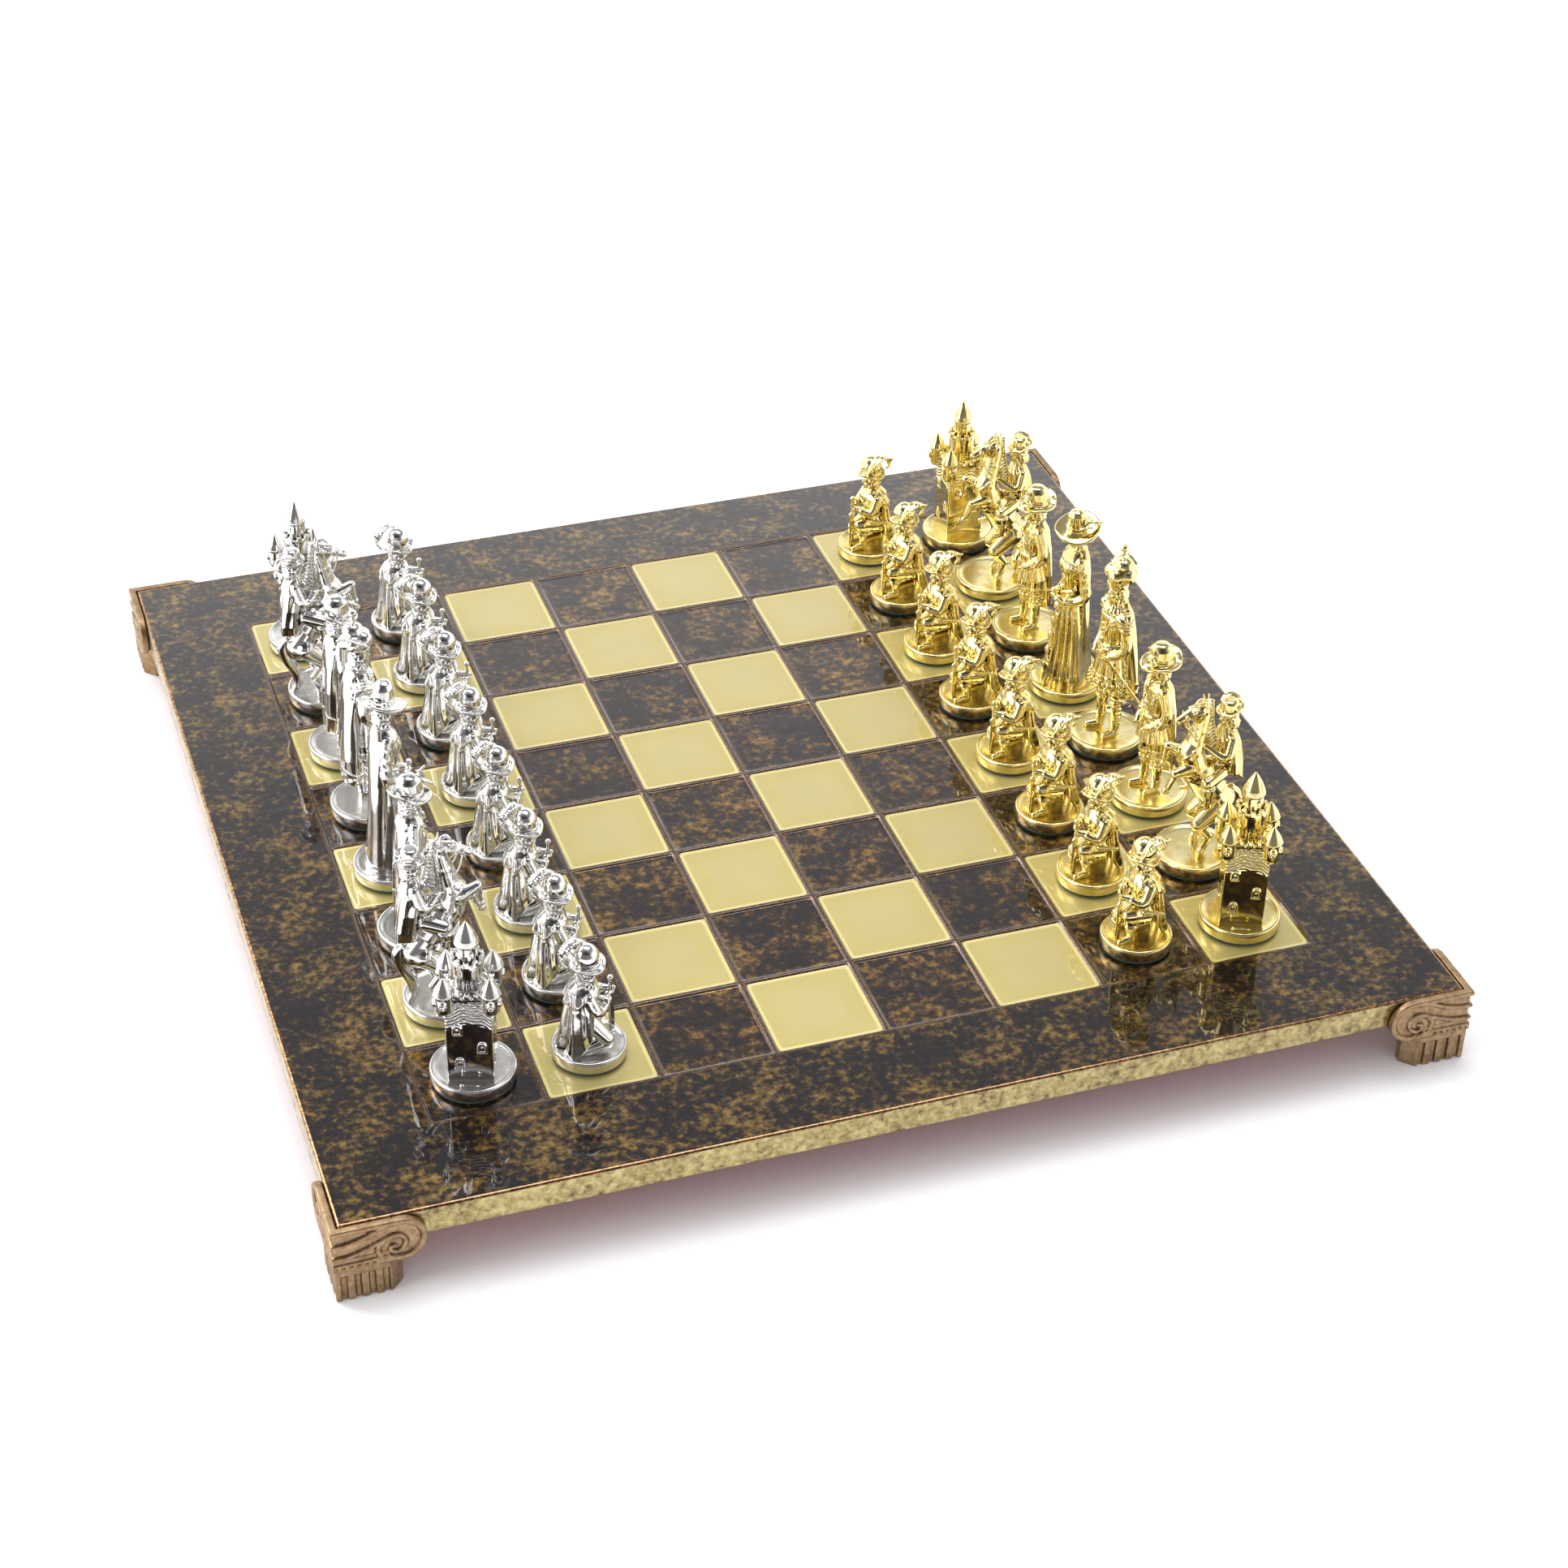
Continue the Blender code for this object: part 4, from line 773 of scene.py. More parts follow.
def king():
    """A standing ruler in a skirted doublet, cape and puffed cap with a jewel."""
    c = Clay((-17, -15, 4), (14, 15, 100))
    skirt = [(30.5, 0.2, 0, 8.8, 10.0), (33, 0.2, 0, 8.2, 9.6), (42, 0.2, 0, 6.6, 8.0),
             (50, 0.4, 0, 4.8, 6.0), (58, 0.4, 0, 5.4, 6.6), (64, 0.2, 0, 5.4, 6.9),
             (68.4, -0.2, 0, 3.8, 5.2), (70.5, -0.2, 0, 2.4, 3.0)]

    def skirt_folds(a, z):
        broad = -1.2 * (1 - pleats(5 * a)) * ramp(z, 50, 40)
        return broad - 0.25 * (1 - drape(6 * a + 0.1 * z)) * ramp(z, 51, 54)

    c.add(gown(skirt, skirt_folds), 0.3)
    c.add(turned(0.3, 0, [(49.6, 6.2), (51.0, 6.2)]), 0.25)
    c.band((-9, -10, 47), (9, 10, 53), lambda x, y, z: np.abs(z - 50.4 + 0.28 * x) - 0.8, 0.45)
    c.band((-12, -12, 34), (12, 12, 40), lambda x, y, z: np.abs(z - 36.4) - 0.35, 0.3)
    for k in range(26):
        a = 2 * math.pi * k / 26
        c.add(ball((0.2 + 8.5 * math.cos(a), 9.8 * math.sin(a), 33.6), (0.95, 0.95, 1.15)), 0.15)
        c.add(ball((0.2 + 8.9 * math.cos(a + 0.12), 10.1 * math.sin(a + 0.12), 31.2), 0.75), 0.15)
    # legs and boots
    for side, x in ((-1, 1.2), (1, -1.6)):
        c.add(limb([(x - 0.4, side * 3.6, 34, 3.6), (x, side * 4.2, 22, 2.5),
                    (x - 0.3, side * 4.3, 12, 2.2), (x, side * 4.3, 7.4, 1.9)]), 0.6)
        c.add(turned(x, side * 4.2, [(24.4, 3.0), (26.6, 3.5), (27.4, 3.5)]), 0.2)
        c.add(ball((x + 0.4, side * 4.3, 22.0), (2.9, 2.9, 1.3)), 0.3)
        c.add(limb([(x, side * 4.5, 6.9, 2.0), (x + 5.0, side * 5.6, 6.3, 1.5)]), 0.5)
    # cape with a patterned hem
    cape = [(19.0, -7.0, 0, 4.6, 10.2), (30, -6.6, 0, 4.6, 10.4), (45, -5.4, 0, 4.4, 9.4),
            (58, -4.0, 0, 4.2, 8.4), (65, -3.0, 0, 3.8, 7.6), (70, -2.0, 0, 2.4, 4.0)]
    c.add(gown(cape, soft_folds(0.9, 2.0, 0.25, 0.025, 30, (64, 44)),
               open_cape(3.8, 0.02, 21.0, 0.45)), 0.3)

    def hem_pattern(x, y, z):
        level = z - 0.45 * y
        return 0.3 * np.sin(1.7 * y) * np.sin(1.5 * level) * ramp(level, 27.8, 26.8)

    c.band((-16, -15, 15), (0, 15, 40), lambda x, y, z: np.abs(z - 0.45 * y - 28.4) - 0.3, 0.3)
    c.push((-16, -15, 12), (-1, 15, 36), hem_pattern)
    # arms: puffed upper sleeves, plain cuffs
    for side, z in ((-1, 0.0), (1, 1.0)):
        c.add(ball((-0.6, side * 8.0, 64.6), (4.0, 3.4, 3.9)), 0.6)
        c.push((-5, side * 8 - 4, 60), (4, side * 8 + 4, 69),
               lambda x, y, z, side=side: 0.5 * (drape(4 * np.arctan2(z - 64.6, x + 0.6)) - 0.6))
        c.add(turned(-0.8, side * 8.6, [(60.0, 2.9), (61.4, 2.9)]), 0.15)
        c.add(bent([(-0.8, side * 8.6, 61.0, 2.4), (-1.2, side * 9.8, 54.0, 2.3),
                    (0.4, side * 9.2, 49.6, 2.3), (5.0, side * 5.6, 45.6 + z, 1.8)]), 0.4)
        c.push((-4, side * 9.4 - 3, 49), (3, side * 9.4 + 3, 60), lambda x, y,
               z: 0.12 * np.sin(2.4 * x + 0.3 * z))
        for k in range(7):
            a = k * 0.9
            c.add(ball((3.9 + 1.5 * math.cos(a), side * (6.4 + 1.4 * math.sin(a)), 46.6 + z), 0.75), 0.12)
        hand(c, 5.8, side * 4.6, 44.6 + z, 1.5)
    c.add(limb([(5.6, 5.4, 46.2, 0.9), (-9.0, 12.4, 24, 0.6)]), 0.2)
    c.add(ball((7.2, 4.4, 49.2), 1.3), 0.2)
    c.add(bent([(6.0, 2.8, 46.8, 0.6), (6.4, 5.2, 46.6, 0.6), (5.4, 7.8, 47.4, 0.6)]), 0.15)
    # doublet front
    for z in (53, 55.4, 57.8, 60.2):
        c.add(ball((5.9, 0, z), 0.55), 0.1)
    for side in (-1, 1):
        c.band((0, -8, 50), (9, 8, 68), lambda x, y, z, side=side: np.abs(side * y - 0.42 * (z - 51)) - 0.5,
               0.35)
    # lace collar, chain
    c.add(gown([(64.4, 0.6, 0, 5.6, 6.6), (67, 0.4, 0, 5.0, 6.2), (69.6, 0.2, 0, 3.2, 3.8)],
               lambda a, z: -0.7 * (1 - pleats(8 * a)), scallops(65.2, 0.9, 7)), 0.15)
    c.push((-7, -8, 64), (8, 8, 70), lambda x, y, z: 0.18 * np.sin(4.2 * y) * np.sin(3.8 * z))
    # head, puffed cap, jewel
    head(c, 0.8, 0, 75.0)
    c.add(ball((2.6, 0, 71.6), (1.5, 1.9, 2.2)), 0.5)
    curls(c, 0.2, 0, 76.6, 71.4, 3.0, 1.05, 78)
    c.add(turned(0.3, 0, [(77.6, 4.4), (79.8, 4.6)]), 0.2)
    c.add(ball((-0.8, 0, 83.4), (5.6, 5.8, 4.6)), 0.6)
    for k in range(5):
        a = 0.6 + 2 * math.pi * k / 5
        c.add(ball((-0.8 + 3.9 * math.cos(a), 4.1 * math.sin(a), 83.0 + 0.8 * math.sin(2.1 * k)),
                   (3.3, 3.3, 3.4)), 0.8)
    c.add(ball((-1.6, 0.4, 87.4), (4.2, 4.2, 3.2)), 1.0)
    plume(c, [(2.4, -4.6, 81.6), (-1.0, -6.8, 85.4), (-5.5, -5.6, 87.4), (-8.6, -2.4, 85.0)], 1.7)
    c.add(limb([(-1.3, 0.2, 90.0, 1.0), (-1.2, 0, 93.8, 0.55)]), 0.3)
    c.add(turned(-1.2, 0, [(92.6, 1.3), (93.2, 1.3)]), 0.15)
    c.add(ball((-1.2, 0, 95.2), 1.75), 0.2)
    return c


FIGURES = {"pawn": pawn, "rook": rook, "knight": knight, "bishop": bishop, "queen": queen, "king": king}


# ---------------------------------------------------------------- corner foot
# Sizes in mm, counted along both arms from the foot's outer corner, and up from the table.
FOOT_LOW = (-0.9, -0.9, -0.9)
FOOT_HIGH = (36, 36, 34.2)
FOOT_CELL = 0.3
FACE_SETBACK = 1.0
CLASP_THICKNESS = 3.0
CLASP_BOTTOM = 14.4
SCROLL_AT = 25.3
SCROLL_DOWN = 9.3
SCROLL_RADIUS = 9.3
COLUMN_LENGTH = 20.8
COLUMN_REACH = 25.8
COLUMN_DEPTH = 8.6
COLUMN_SETBACK = 0.6
COLUMN_TOP = 19.5
FLUTES = 4
FLUTE_START = 3.9
FLUTE_SPACING = 5.05
FLUTE_TOP = 11.4
FLUTE_DEPTH = 1.6
SHELF_LOW = 18.7
SHELF_HIGH = 21.2
SHELF_REACH = 33.0
SCREW_PLACES = ((13.0, 29.0), (29.0, 13.0))
SCREW_HOLE = 1.8
DOTS = 6
SLANT = 0.7071


def near_line(u, v, line):
    """Distance from (u, v) to a smooth line through (u, v) points."""
    pts = curve_points([(a, b, 0, 0) for a, b in line], 5)[:, :2]
    found = None
    for (ax, ay), (bx, by) in zip(pts, pts[1:]):
        dx, dy = bx - ax, by - ay
        t = np.clip(((u - ax) * dx + (v - ay) * dy) / max(dx * dx + dy * dy, 1e-9), 0, 1)
        d = np.hypot(u - ax - t * dx, v - ay - t * dy)
        found = d if found is None else np.minimum(found, d)
    return found


# (points of a rib as distance along and distance down from the top, half its width)
FOOT_RIBS = (
    ([(-1, 7.0), (3, 6.95), (6.9, 6.5), (12.5, 4.9), (16.7, 3.0), (20.5, 1.6)], 0.65),
    ([(-1, 12.6), (3, 12.8), (6.5, 12.5), (12.0, 10.9), (17.9, 8.5), (21.6, 6.9), (24.7, 7.1), (26.7, 9.9),
      (25.9, 13.1), (23.3, 14.6), (21.3, 13.6), (21.2, 12.0), (22.6, 11.4)], 0.65),
    ([(-1, 15.9), (6.5, 15.9), (12, 15.8), (16.4, 15.6)], 0.4),
    ([(18.6, 8.8), (16.9, 11.0), (16.9, 13.8), (18.9, 16.6), (22.4, 17.9)], 0.75),
)


def foot_relief(u, v):
    """How far the clasp's face is raised above its ground, 0 to 1."""
    raised = np.zeros(np.broadcast(u, v).shape, np.float32)
    for line, half in FOOT_RIBS:
        raised = np.maximum(raised, ramp(near_line(u, v, line), half + 0.45, half - 0.15))
    rim = ramp(v, 2.5, 1.9) * ramp(u, 25.6, 25.2)
    reach = np.hypot(u - SCROLL_AT, v - SCROLL_DOWN)
    scroll = ramp(reach, 6.7, 7.5) * ramp(u, 21.0, 25.0)
    scroll = np.maximum(scroll, ramp(reach, 7.3, 8.0) * ramp(v, 14.0, 16.0) * ramp(u, 17.5, 20.0))
    band = ramp(v, 15.8, 16.2)
    raised = np.maximum(np.maximum(raised, rim), np.maximum(scroll, band * ramp(reach, 7.2, 8.2)))
    for k in range(DOTS):
        dot = np.hypot((u - 1.3 - 2.75 * k) / 1.05, v - 17.5)
        raised = raised * (1 - 0.9 * ramp(dot, 0.95, 0.6))
    return raised


def clasp_outline(u, z):
    """A band along the board's edge that ends in a round scroll."""
    band = np.maximum(u - SCROLL_AT, np.maximum(CLASP_BOTTOM - z, z - TOP))
    return np.minimum(band, np.hypot(u - SCROLL_AT, z - (TOP - SCROLL_DOWN)) - SCROLL_RADIUS)


def foot_clay():
    """The front left foot in mm, its outer corner at 0, 0 and its faces towards -X and -Y."""
    c = Clay(FOOT_LOW, FOOT_HIGH, FOOT_CELL)

    def clasp(x, y, z):
        along_x = smooth_max(clasp_outline(x, z), y - CLASP_THICKNESS, 0.5)
        along_y = smooth_max(clasp_outline(y, z), x - CLASP_THICKNESS, 0.5)
        both = np.minimum(along_x, along_y)
        face_y = FACE_SETBACK - foot_relief(x, TOP - z) - y
        face_x = FACE_SETBACK - foot_relief(y, TOP - z) - x
        return smooth_max(both, smooth_max(face_x * 0.8, face_y * 0.8, 0.4), 0.7)

    def arm(along, depth):
        """One arm of the column, its end cut on the slant."""
        d = np.maximum(depth - COLUMN_DEPTH, along - COLUMN_REACH)
        return np.maximum(d, ((along - COLUMN_LENGTH) - (depth - COLUMN_SETBACK)) * SLANT)

    def column(x, y, z):
        faces = np.maximum(COLUMN_SETBACK - x, COLUMN_SETBACK - y)
        d = smooth_max(np.minimum(arm(x, y), arm(y, x)), faces, 0.5)
        for k in range(FLUTES):
            at = FLUTE_START + FLUTE_SPACING * k
            for along, depth in ((x, y), (y, x)):
                flute = np.maximum(np.abs(along - at) - 1.15, depth - FLUTE_DEPTH)
                d = smooth_max(d, -np.maximum(flute, z - FLUTE_TOP), 0.35)
        return smooth_max(d, np.maximum(z - COLUMN_TOP, 0.05 - z), 0.3)

    def shelf(x, y, z):
        d = np.maximum(np.maximum(x, y) - SHELF_REACH, (x + y - 53.3) * SLANT)
        d = np.maximum(d, 1.5 - np.minimum(x, y))
        d = np.maximum(d, np.maximum(SHELF_LOW - z, z - SHELF_HIGH))
        for at_x, at_y in SCREW_PLACES:
            d = np.maximum(d, SCREW_HOLE - np.hypot(x - at_x, y - at_y))
        return d

    for shape in (shelf, column, clasp):
        c.add((shape, FOOT_LOW, FOOT_HIGH), 0.15)
    return c


# ---------------------------------------------------------------- formed board
CORNER_POINTS = 6
LACQUER, BRASS, COPPER = 0, 1, 2


def rounded_square(half, radius, side_points=6):
    """Points round a square with rounded corners, the same number whatever its size."""
    found = []
    for turn in range(4):
        for k in range(CORNER_POINTS):
            a = math.radians(-90 + 90 * turn + 90 * k / (CORNER_POINTS - 1))
            cx = (half - radius) * (1 if turn in (0, 1) else -1)
            cy = (half - radius) * (1 if turn in (1, 2) else -1)
            found.append((cx + radius * math.cos(a), cy + radius * math.sin(a)))
        a = found[-1]
        nx = (half - radius) * (1 if turn in (0, 3) else -1)
        ny = (half - radius) * (1 if turn in (0, 1) else -1)
        angle = math.radians(90 * turn)
        b = (nx + radius * math.cos(angle), ny + radius * math.sin(angle))
        for k in range(1, side_points):
            t = k / side_points
            found.append((a[0] + (b[0] - a[0]) * t, a[1] + (b[1] - a[1]) * t))
    return found


# (distance in from the square's edge, depth below the top, corner radius)
TRAY_RINGS = ((0.35, 0.0, 0.3), (0.62, 0.05, 0.5), (0.8, 0.16, 0.8), (1.05, 0.42, 1.1), (1.3, 0.66, 1.5),
              (1.55, 0.77, 1.9), (1.9, 0.8, 2.3), (3.2, 0.8, 3.2))


def skirt_profile():
    """Rows of (half width, height, corner radius, slot): a copper corner, the brass edge, the inside."""
    inside = EDGE - 1.8
    return (
        (EDGE - 1.2, TOP, 0.6, LACQUER), (EDGE - 0.75, TOP - 0.09, 0.8, COPPER),
        (EDGE - 0.35, TOP - 0.35, 1.0, COPPER), (EDGE - 0.09, TOP - 0.75, 1.1, COPPER),
        (EDGE, TOP - 1.2, 1.2, BRASS), (EDGE, TOP - 1.5, 1.2, BRASS), (EDGE, BOTTOM + 0.7, 1.2, BRASS),
        (EDGE, BOTTOM + 0.4, 1.2, BRASS), (EDGE - 0.3, BOTTOM, 1.0, BRASS), (inside, BOTTOM, 0.4, BRASS),
        (inside, TOP - 1.8, 0.4, BRASS),
    )


class Shell:
    """Points and faces of the board's sheet, each face with its material slot."""

    def __init__(self):
        self.points, self.faces, self.slots = [], [], []
        self.corners = {}

    def face(self, corners, slot=LACQUER):
        self.faces.append(tuple(corners))
        self.slots.append(slot)

    def ring(self, half, radius, z, middle=(0, 0)):
        """A rounded square's points at one height."""
        first = len(self.points)
        outline = rounded_square(half, radius)
        self.points.extend((middle[0] + x, middle[1] + y, z) for x, y in outline)
        return list(range(first, first + len(outline)))

    def join(self, a, b, slot=LACQUER):
        """A strip of faces between two rings."""
        count = len(a)
        for k in range(count):
            self.face((a[k], a[(k + 1) % count], b[(k + 1) % count], b[k]), slot)

    def corner(self, i, j):
        """The point where squares meet, i along X and j along Y."""
        if (i, j) not in self.corners:
            self.corners[i, j] = len(self.points)
            self.points.append(((i - SQUARES / 2) * PITCH, (j - SQUARES / 2) * PITCH, TOP))
        return self.corners[i, j]


def around(loop, turn):
    """A ring's points round one corner, and those along the side after it."""
    start = turn * len(loop) // 4
    last = len(loop) // 4 + 1
    ahead = [loop[(start + k) % len(loop)] for k in range(last)]
    return ahead[:CORNER_POINTS], ahead[CORNER_POINTS - 1:]


def add_tray(shell, i, j):
    """One square: its flat ridge, the tray's wall and the tray's floor."""
    middle = ((i - (SQUARES - 1) / 2) * PITCH, (j - (SQUARES - 1) / 2) * PITCH)
    rings = [shell.ring(PITCH / 2 - inward, radius, TOP - depth, middle)
             for inward, depth, radius in TRAY_RINGS]
    outer = [shell.corner(i + 1, j), shell.corner(i + 1, j + 1), shell.corner(i, j + 1), shell.corner(i, j)]
    for turn in range(4):
        here, after = outer[turn], outer[(turn + 1) % 4]
        bend, side = around(rings[0], turn)
        for a, b in zip(bend, bend[1:]):
            shell.face((here, b, a))
        shell.face((here, after, *side[::-1]))
    for a, b in zip(rings, rings[1:]):
        shell.join(a, b)
    shell.face(rings[-1])


def add_border(shell):
    """The flat border between the squares and the rounded edge; gives back its outer ring."""
    last = SQUARES
    up, down = range(last), range(last, 0, -1)
    inner = [shell.corner(last, j) for j in up]
    inner += [shell.corner(i, last) for i in down]
    inner += [shell.corner(0, j) for j in down]
    inner += [shell.corner(i, 0) for i in up]
    border = shell.ring(EDGE - 1.6, 0.5, TOP)
    for turn in range(4):
        here = [inner[(turn * last + k) % len(inner)] for k in range(last + 1)]
        bend, side = around(border, turn)
        for a, b in zip(bend, bend[1:]):
            shell.face((here[0], a, b))
        shell.face((*side, *here[::-1]))
    return border


def board_mesh():
    """The board's top sheet as one closed shell: trays, ridges, border, rounded edge and skirt."""
    shell = Shell()
    for i in range(SQUARES):
        for j in range(SQUARES):
            add_tray(shell, i, j)
    last = add_border(shell)
    for half, z, radius, slot in skirt_profile():
        found = shell.ring(half, radius, z)
        shell.join(found, last, slot)
        last = found
    shell.face(last[::-1], BRASS)
    mesh = bpy.data.meshes.new("top_sheet")
    mesh.from_pydata([(x * MM, y * MM, z * MM) for x, y, z in shell.points], [], shell.faces)
    mesh.polygons.foreach_set("material_index", np.array(shell.slots, np.int32))
    mesh.polygons.foreach_set("use_smooth", np.ones(len(shell.faces), bool))
    mesh.update()
    mesh.set_sharp_from_angle(angle=math.radians(60))
    return mesh


# ---------------------------------------------------------------- meshes of the men
def clay_mesh(name, clay, extra=None):
    """A mesh in metres from clay, with extra (points, quads) in mm joined to it."""
    points, quads, hollow = surface_of(clay)
    if extra is not None:
        quads = np.vstack([quads, extra[1] + len(points)])
        points = np.vstack([points, extra[0]])
        hollow = np.concatenate([hollow, np.zeros(len(extra[0]))])
    mesh = bpy.data.meshes.new(name)
    mesh.vertices.add(len(points))
    mesh.vertices.foreach_set("co", (points * MM).astype(np.float32).ravel())
    mesh.loops.add(quads.size)
    mesh.loops.foreach_set("vertex_index", quads.astype(np.int32).ravel())
    mesh.polygons.add(len(quads))
    mesh.polygons.foreach_set("loop_start", np.arange(0, quads.size, 4, dtype=np.int32))
    mesh.polygons.foreach_set("use_smooth", np.ones(len(quads), bool))
    mesh.update(calc_edges=True)
    mesh.validate()
    # the hollow attribute carries the mask for patina in crevices and painted shade in wider hollows
    attribute = mesh.attributes.new("hollow", "FLOAT", "POINT")
    attribute.data.foreach_set("value", hollow.astype(np.float32))
    return mesh


# (radius, height) down the outside of a man's base, from its middle
BASE_PROFILE = ((0.25, 5.15), (6, 5.15), (12.4, 5.16), (13.6, 5.24), (14.3, 5.5), (14.8, 5.72), (15.2, 5.8),
                (15.6, 5.76), (15.95, 5.55), (16.14, 5.2), (16.2, 4.8), (16.2, 1.5), (16.05, 1.15),
                (15.8, 0.9), (6, 0.9), (0.25, 0.9))
FELT_PROFILE = ((0.25, 0.86), (15.5, 0.86), (15.6, 0.7), (15.6, -0.1), (15.4, -0.25), (0.25, -0.25))
PAWN_NARROWER = 2.0


def narrowed(profile, by):
    """A base's or a felt's profile with its rim drawn in."""
    return [(max(radius - by, 0.25) if radius > 10 else radius, z) for radius, z in profile]


def lathe(profile, sides=96):
    """(points, quads) of a solid turned about Z, its two ends closed."""
    angles = np.linspace(0, 2 * math.pi, sides, endpoint=False)
    rows = [np.stack([r * np.cos(angles), r * np.sin(angles), np.full(sides, z)], 1) for r, z in profile]
    points = np.vstack(rows)
    quads = []
    for row in range(len(profile) - 1):
        for k in range(sides):
            a, b = row * sides + k, row * sides + (k + 1) % sides
            quads.append((b, a, a + sides, b + sides))
    last = (len(profile) - 1) * sides
    for k in range(sides // 2 - 1):
        cap = np.array((k, k + 1, sides - 2 - k, sides - 1 - k))
        quads.append(tuple(cap))
        quads.append(tuple(cap[::-1] + last))
    return points, np.array(quads)


# ---------------------------------------------------------------- materials
def colour_ramp(tree, value, *stops):
    """Colours that follow a value, from (position, colour) stops."""
    made = tree.nodes.new("ShaderNodeValToRGB")
    band = made.color_ramp
    while len(band.elements) < len(stops):
        band.elements.new(0.5)
    for element, (position, colour) in zip(band.elements, stops):
        element.position = position
        element.color = (*colour, 1.0)
    tree.links.new(value, made.inputs[0])
    return made.outputs[0]


class Look:
    """A Principled material, and short ways to add nodes to it."""

    def __init__(self, name, metallic=0.0, **fixed):
        self.material = bpy.data.materials.new(name)
        self.material.use_nodes = True
        self.tree = self.material.node_tree
        self.shader = self.tree.nodes["Principled BSDF"]
        self.shader.inputs["Metallic"].default_value = metallic
        for socket, value in fixed.items():
            self.shader.inputs[socket.replace("_", " ")].default_value = value

    def node(self, kind, **settings):
        made = self.tree.nodes.new(kind)
        for name, value in settings.items():
            setattr(made, name, value)
        return made

    def feed(self, socket, value):
        """Links a node's output to the socket, or sets the socket to a fixed value."""
        if isinstance(value, bpy.types.NodeSocket):
            self.tree.links.new(value, socket)
        else:
            socket.default_value = value

    def math(self, operation, a, b=0.0, c=0.0):
        made = self.node("ShaderNodeMath", operation=operation)
        for socket, value in zip(made.inputs, (a, b, c)):
            self.feed(socket, value)
        return made.outputs[0]

    def place(self, scale=1.0):
        """The object's own coordinates, times scale."""
        where = self.node("ShaderNodeTexCoord").outputs["Object"]
        made = self.node("ShaderNodeVectorMath", operation="SCALE")
        self.feed(made.inputs[0], where)
        made.inputs["Scale"].default_value = scale
        return made.outputs[0]

    def noise(self, where, scale, detail=2.0, rough=0.5, bend=0.0):
        made = self.node("ShaderNodeTexNoise")
        self.feed(made.inputs["Vector"], where)
        made.inputs["Scale"].default_value = scale
        made.inputs["Detail"].default_value = detail
        made.inputs["Roughness"].default_value = rough
        made.inputs["Distortion"].default_value = bend
        return made.outputs[0]

    def fade(self, value, low, high, at_low=0.0, at_high=1.0):
        """at_low below low, at_high above high, smooth between."""
        made = self.node("ShaderNodeMapRange", interpolation_type="SMOOTHSTEP")
        for socket, number in zip(made.inputs[:5], (value, low, high, at_low, at_high)):
            self.feed(socket, number)
        return made.outputs[0]

    def ramp(self, value, *stops):
        return colour_ramp(self.tree, value, *stops)

    def mix(self, share, a, b, how="MIX"):
        made = self.node("ShaderNodeMix", data_type="RGBA", blend_type=how)
        self.feed(made.inputs[0], share)
        for socket, colour in ((made.inputs[6], a), (made.inputs[7], b)):
            self.feed(socket, (*colour, 1.0) if isinstance(colour, tuple) else colour)
        return made.outputs[2]

    def bump(self, height, distance, strength=1.0):
        made = self.node("ShaderNodeBump")
        made.inputs["Strength"].default_value = strength
        made.inputs["Distance"].default_value = distance
        self.feed(made.inputs["Height"], height)
        self.tree.links.new(made.outputs[0], self.shader.inputs["Normal"])
        return made

    def colour(self, value):
        self.feed(self.shader.inputs["Base Color"], value)

    def roughness(self, value):
        self.feed(self.shader.inputs["Roughness"], value)


def cast_metal(name, bright, dull, patina_and_shade):
    """Polished plating over a casting: dull and dark in the crevices, the dark being patina there and
    painted shade in the wider hollows.
    """
    look = Look(name, metallic=1.0)
    where = look.place(PER_MM)
    deep = look.node("ShaderNodeAttribute", attribute_name="hollow").outputs["Fac"]
    cloud = look.noise(where, 0.16, 3.0, 0.6)
    tone = look.mix(look.fade(cloud, 0.35, 0.7), bright, dull)
    # painted shade and patina: the colour turns to the dark third colour where the hollow attribute is
    # high, as patina in the fine crevices and as painted shade in the wider hollows
    look.colour(look.mix(look.fade(deep, 0.34, 0.95), tone, patina_and_shade))
    worn = look.fade(cloud, 0.3, 0.7, 0.06, 0.14)
    worn = look.math("ADD", worn, look.fade(deep, 0.4, 0.95, 0.0, 0.3))
    # the turned base, below z 6 mm, is satin and the cast figure bright
    split = look.node("ShaderNodeSeparateXYZ")
    look.feed(split.inputs[0], where)
    look.roughness(look.math("ADD", worn, look.fade(split.outputs[2], 6.2, 5.4, 0.0, 0.14)))
    look.bump(look.noise(where, 0.30, 2.0, 0.4), 0.0001, 0.25)
    return look.material


def bronze():
    look = Look("antique_bronze", metallic=1.0)
    where = look.place(PER_MM)
    deep = look.node("ShaderNodeAttribute", attribute_name="hollow").outputs["Fac"]
    cloud = look.noise(where, 0.35, 4.0, 0.65)
    grain = look.noise(where, 3.2, 3.0, 0.7)
    tone = look.ramp(look.math("ADD", look.math("MULTIPLY", cloud, 0.6), look.math("MULTIPLY", grain, 0.4)),
                     (0.34, (0.17, 0.10, 0.055)), (0.5, (0.35, 0.23, 0.13)), (0.68, (0.50, 0.36, 0.21)))
    # painted shade and patina: darker towards the dark bronze colour where the hollow attribute is high,
    # patina in the crevices and painted shade in the wider hollows
    look.colour(look.mix(look.fade(deep, 0.1, 0.62), tone, (0.075, 0.042, 0.026)))
    look.roughness(look.fade(grain, 0.3, 0.7, 0.28, 0.5))
    look.bump(look.math("ADD", grain, cloud), 0.0002, 0.5)
    return look.material


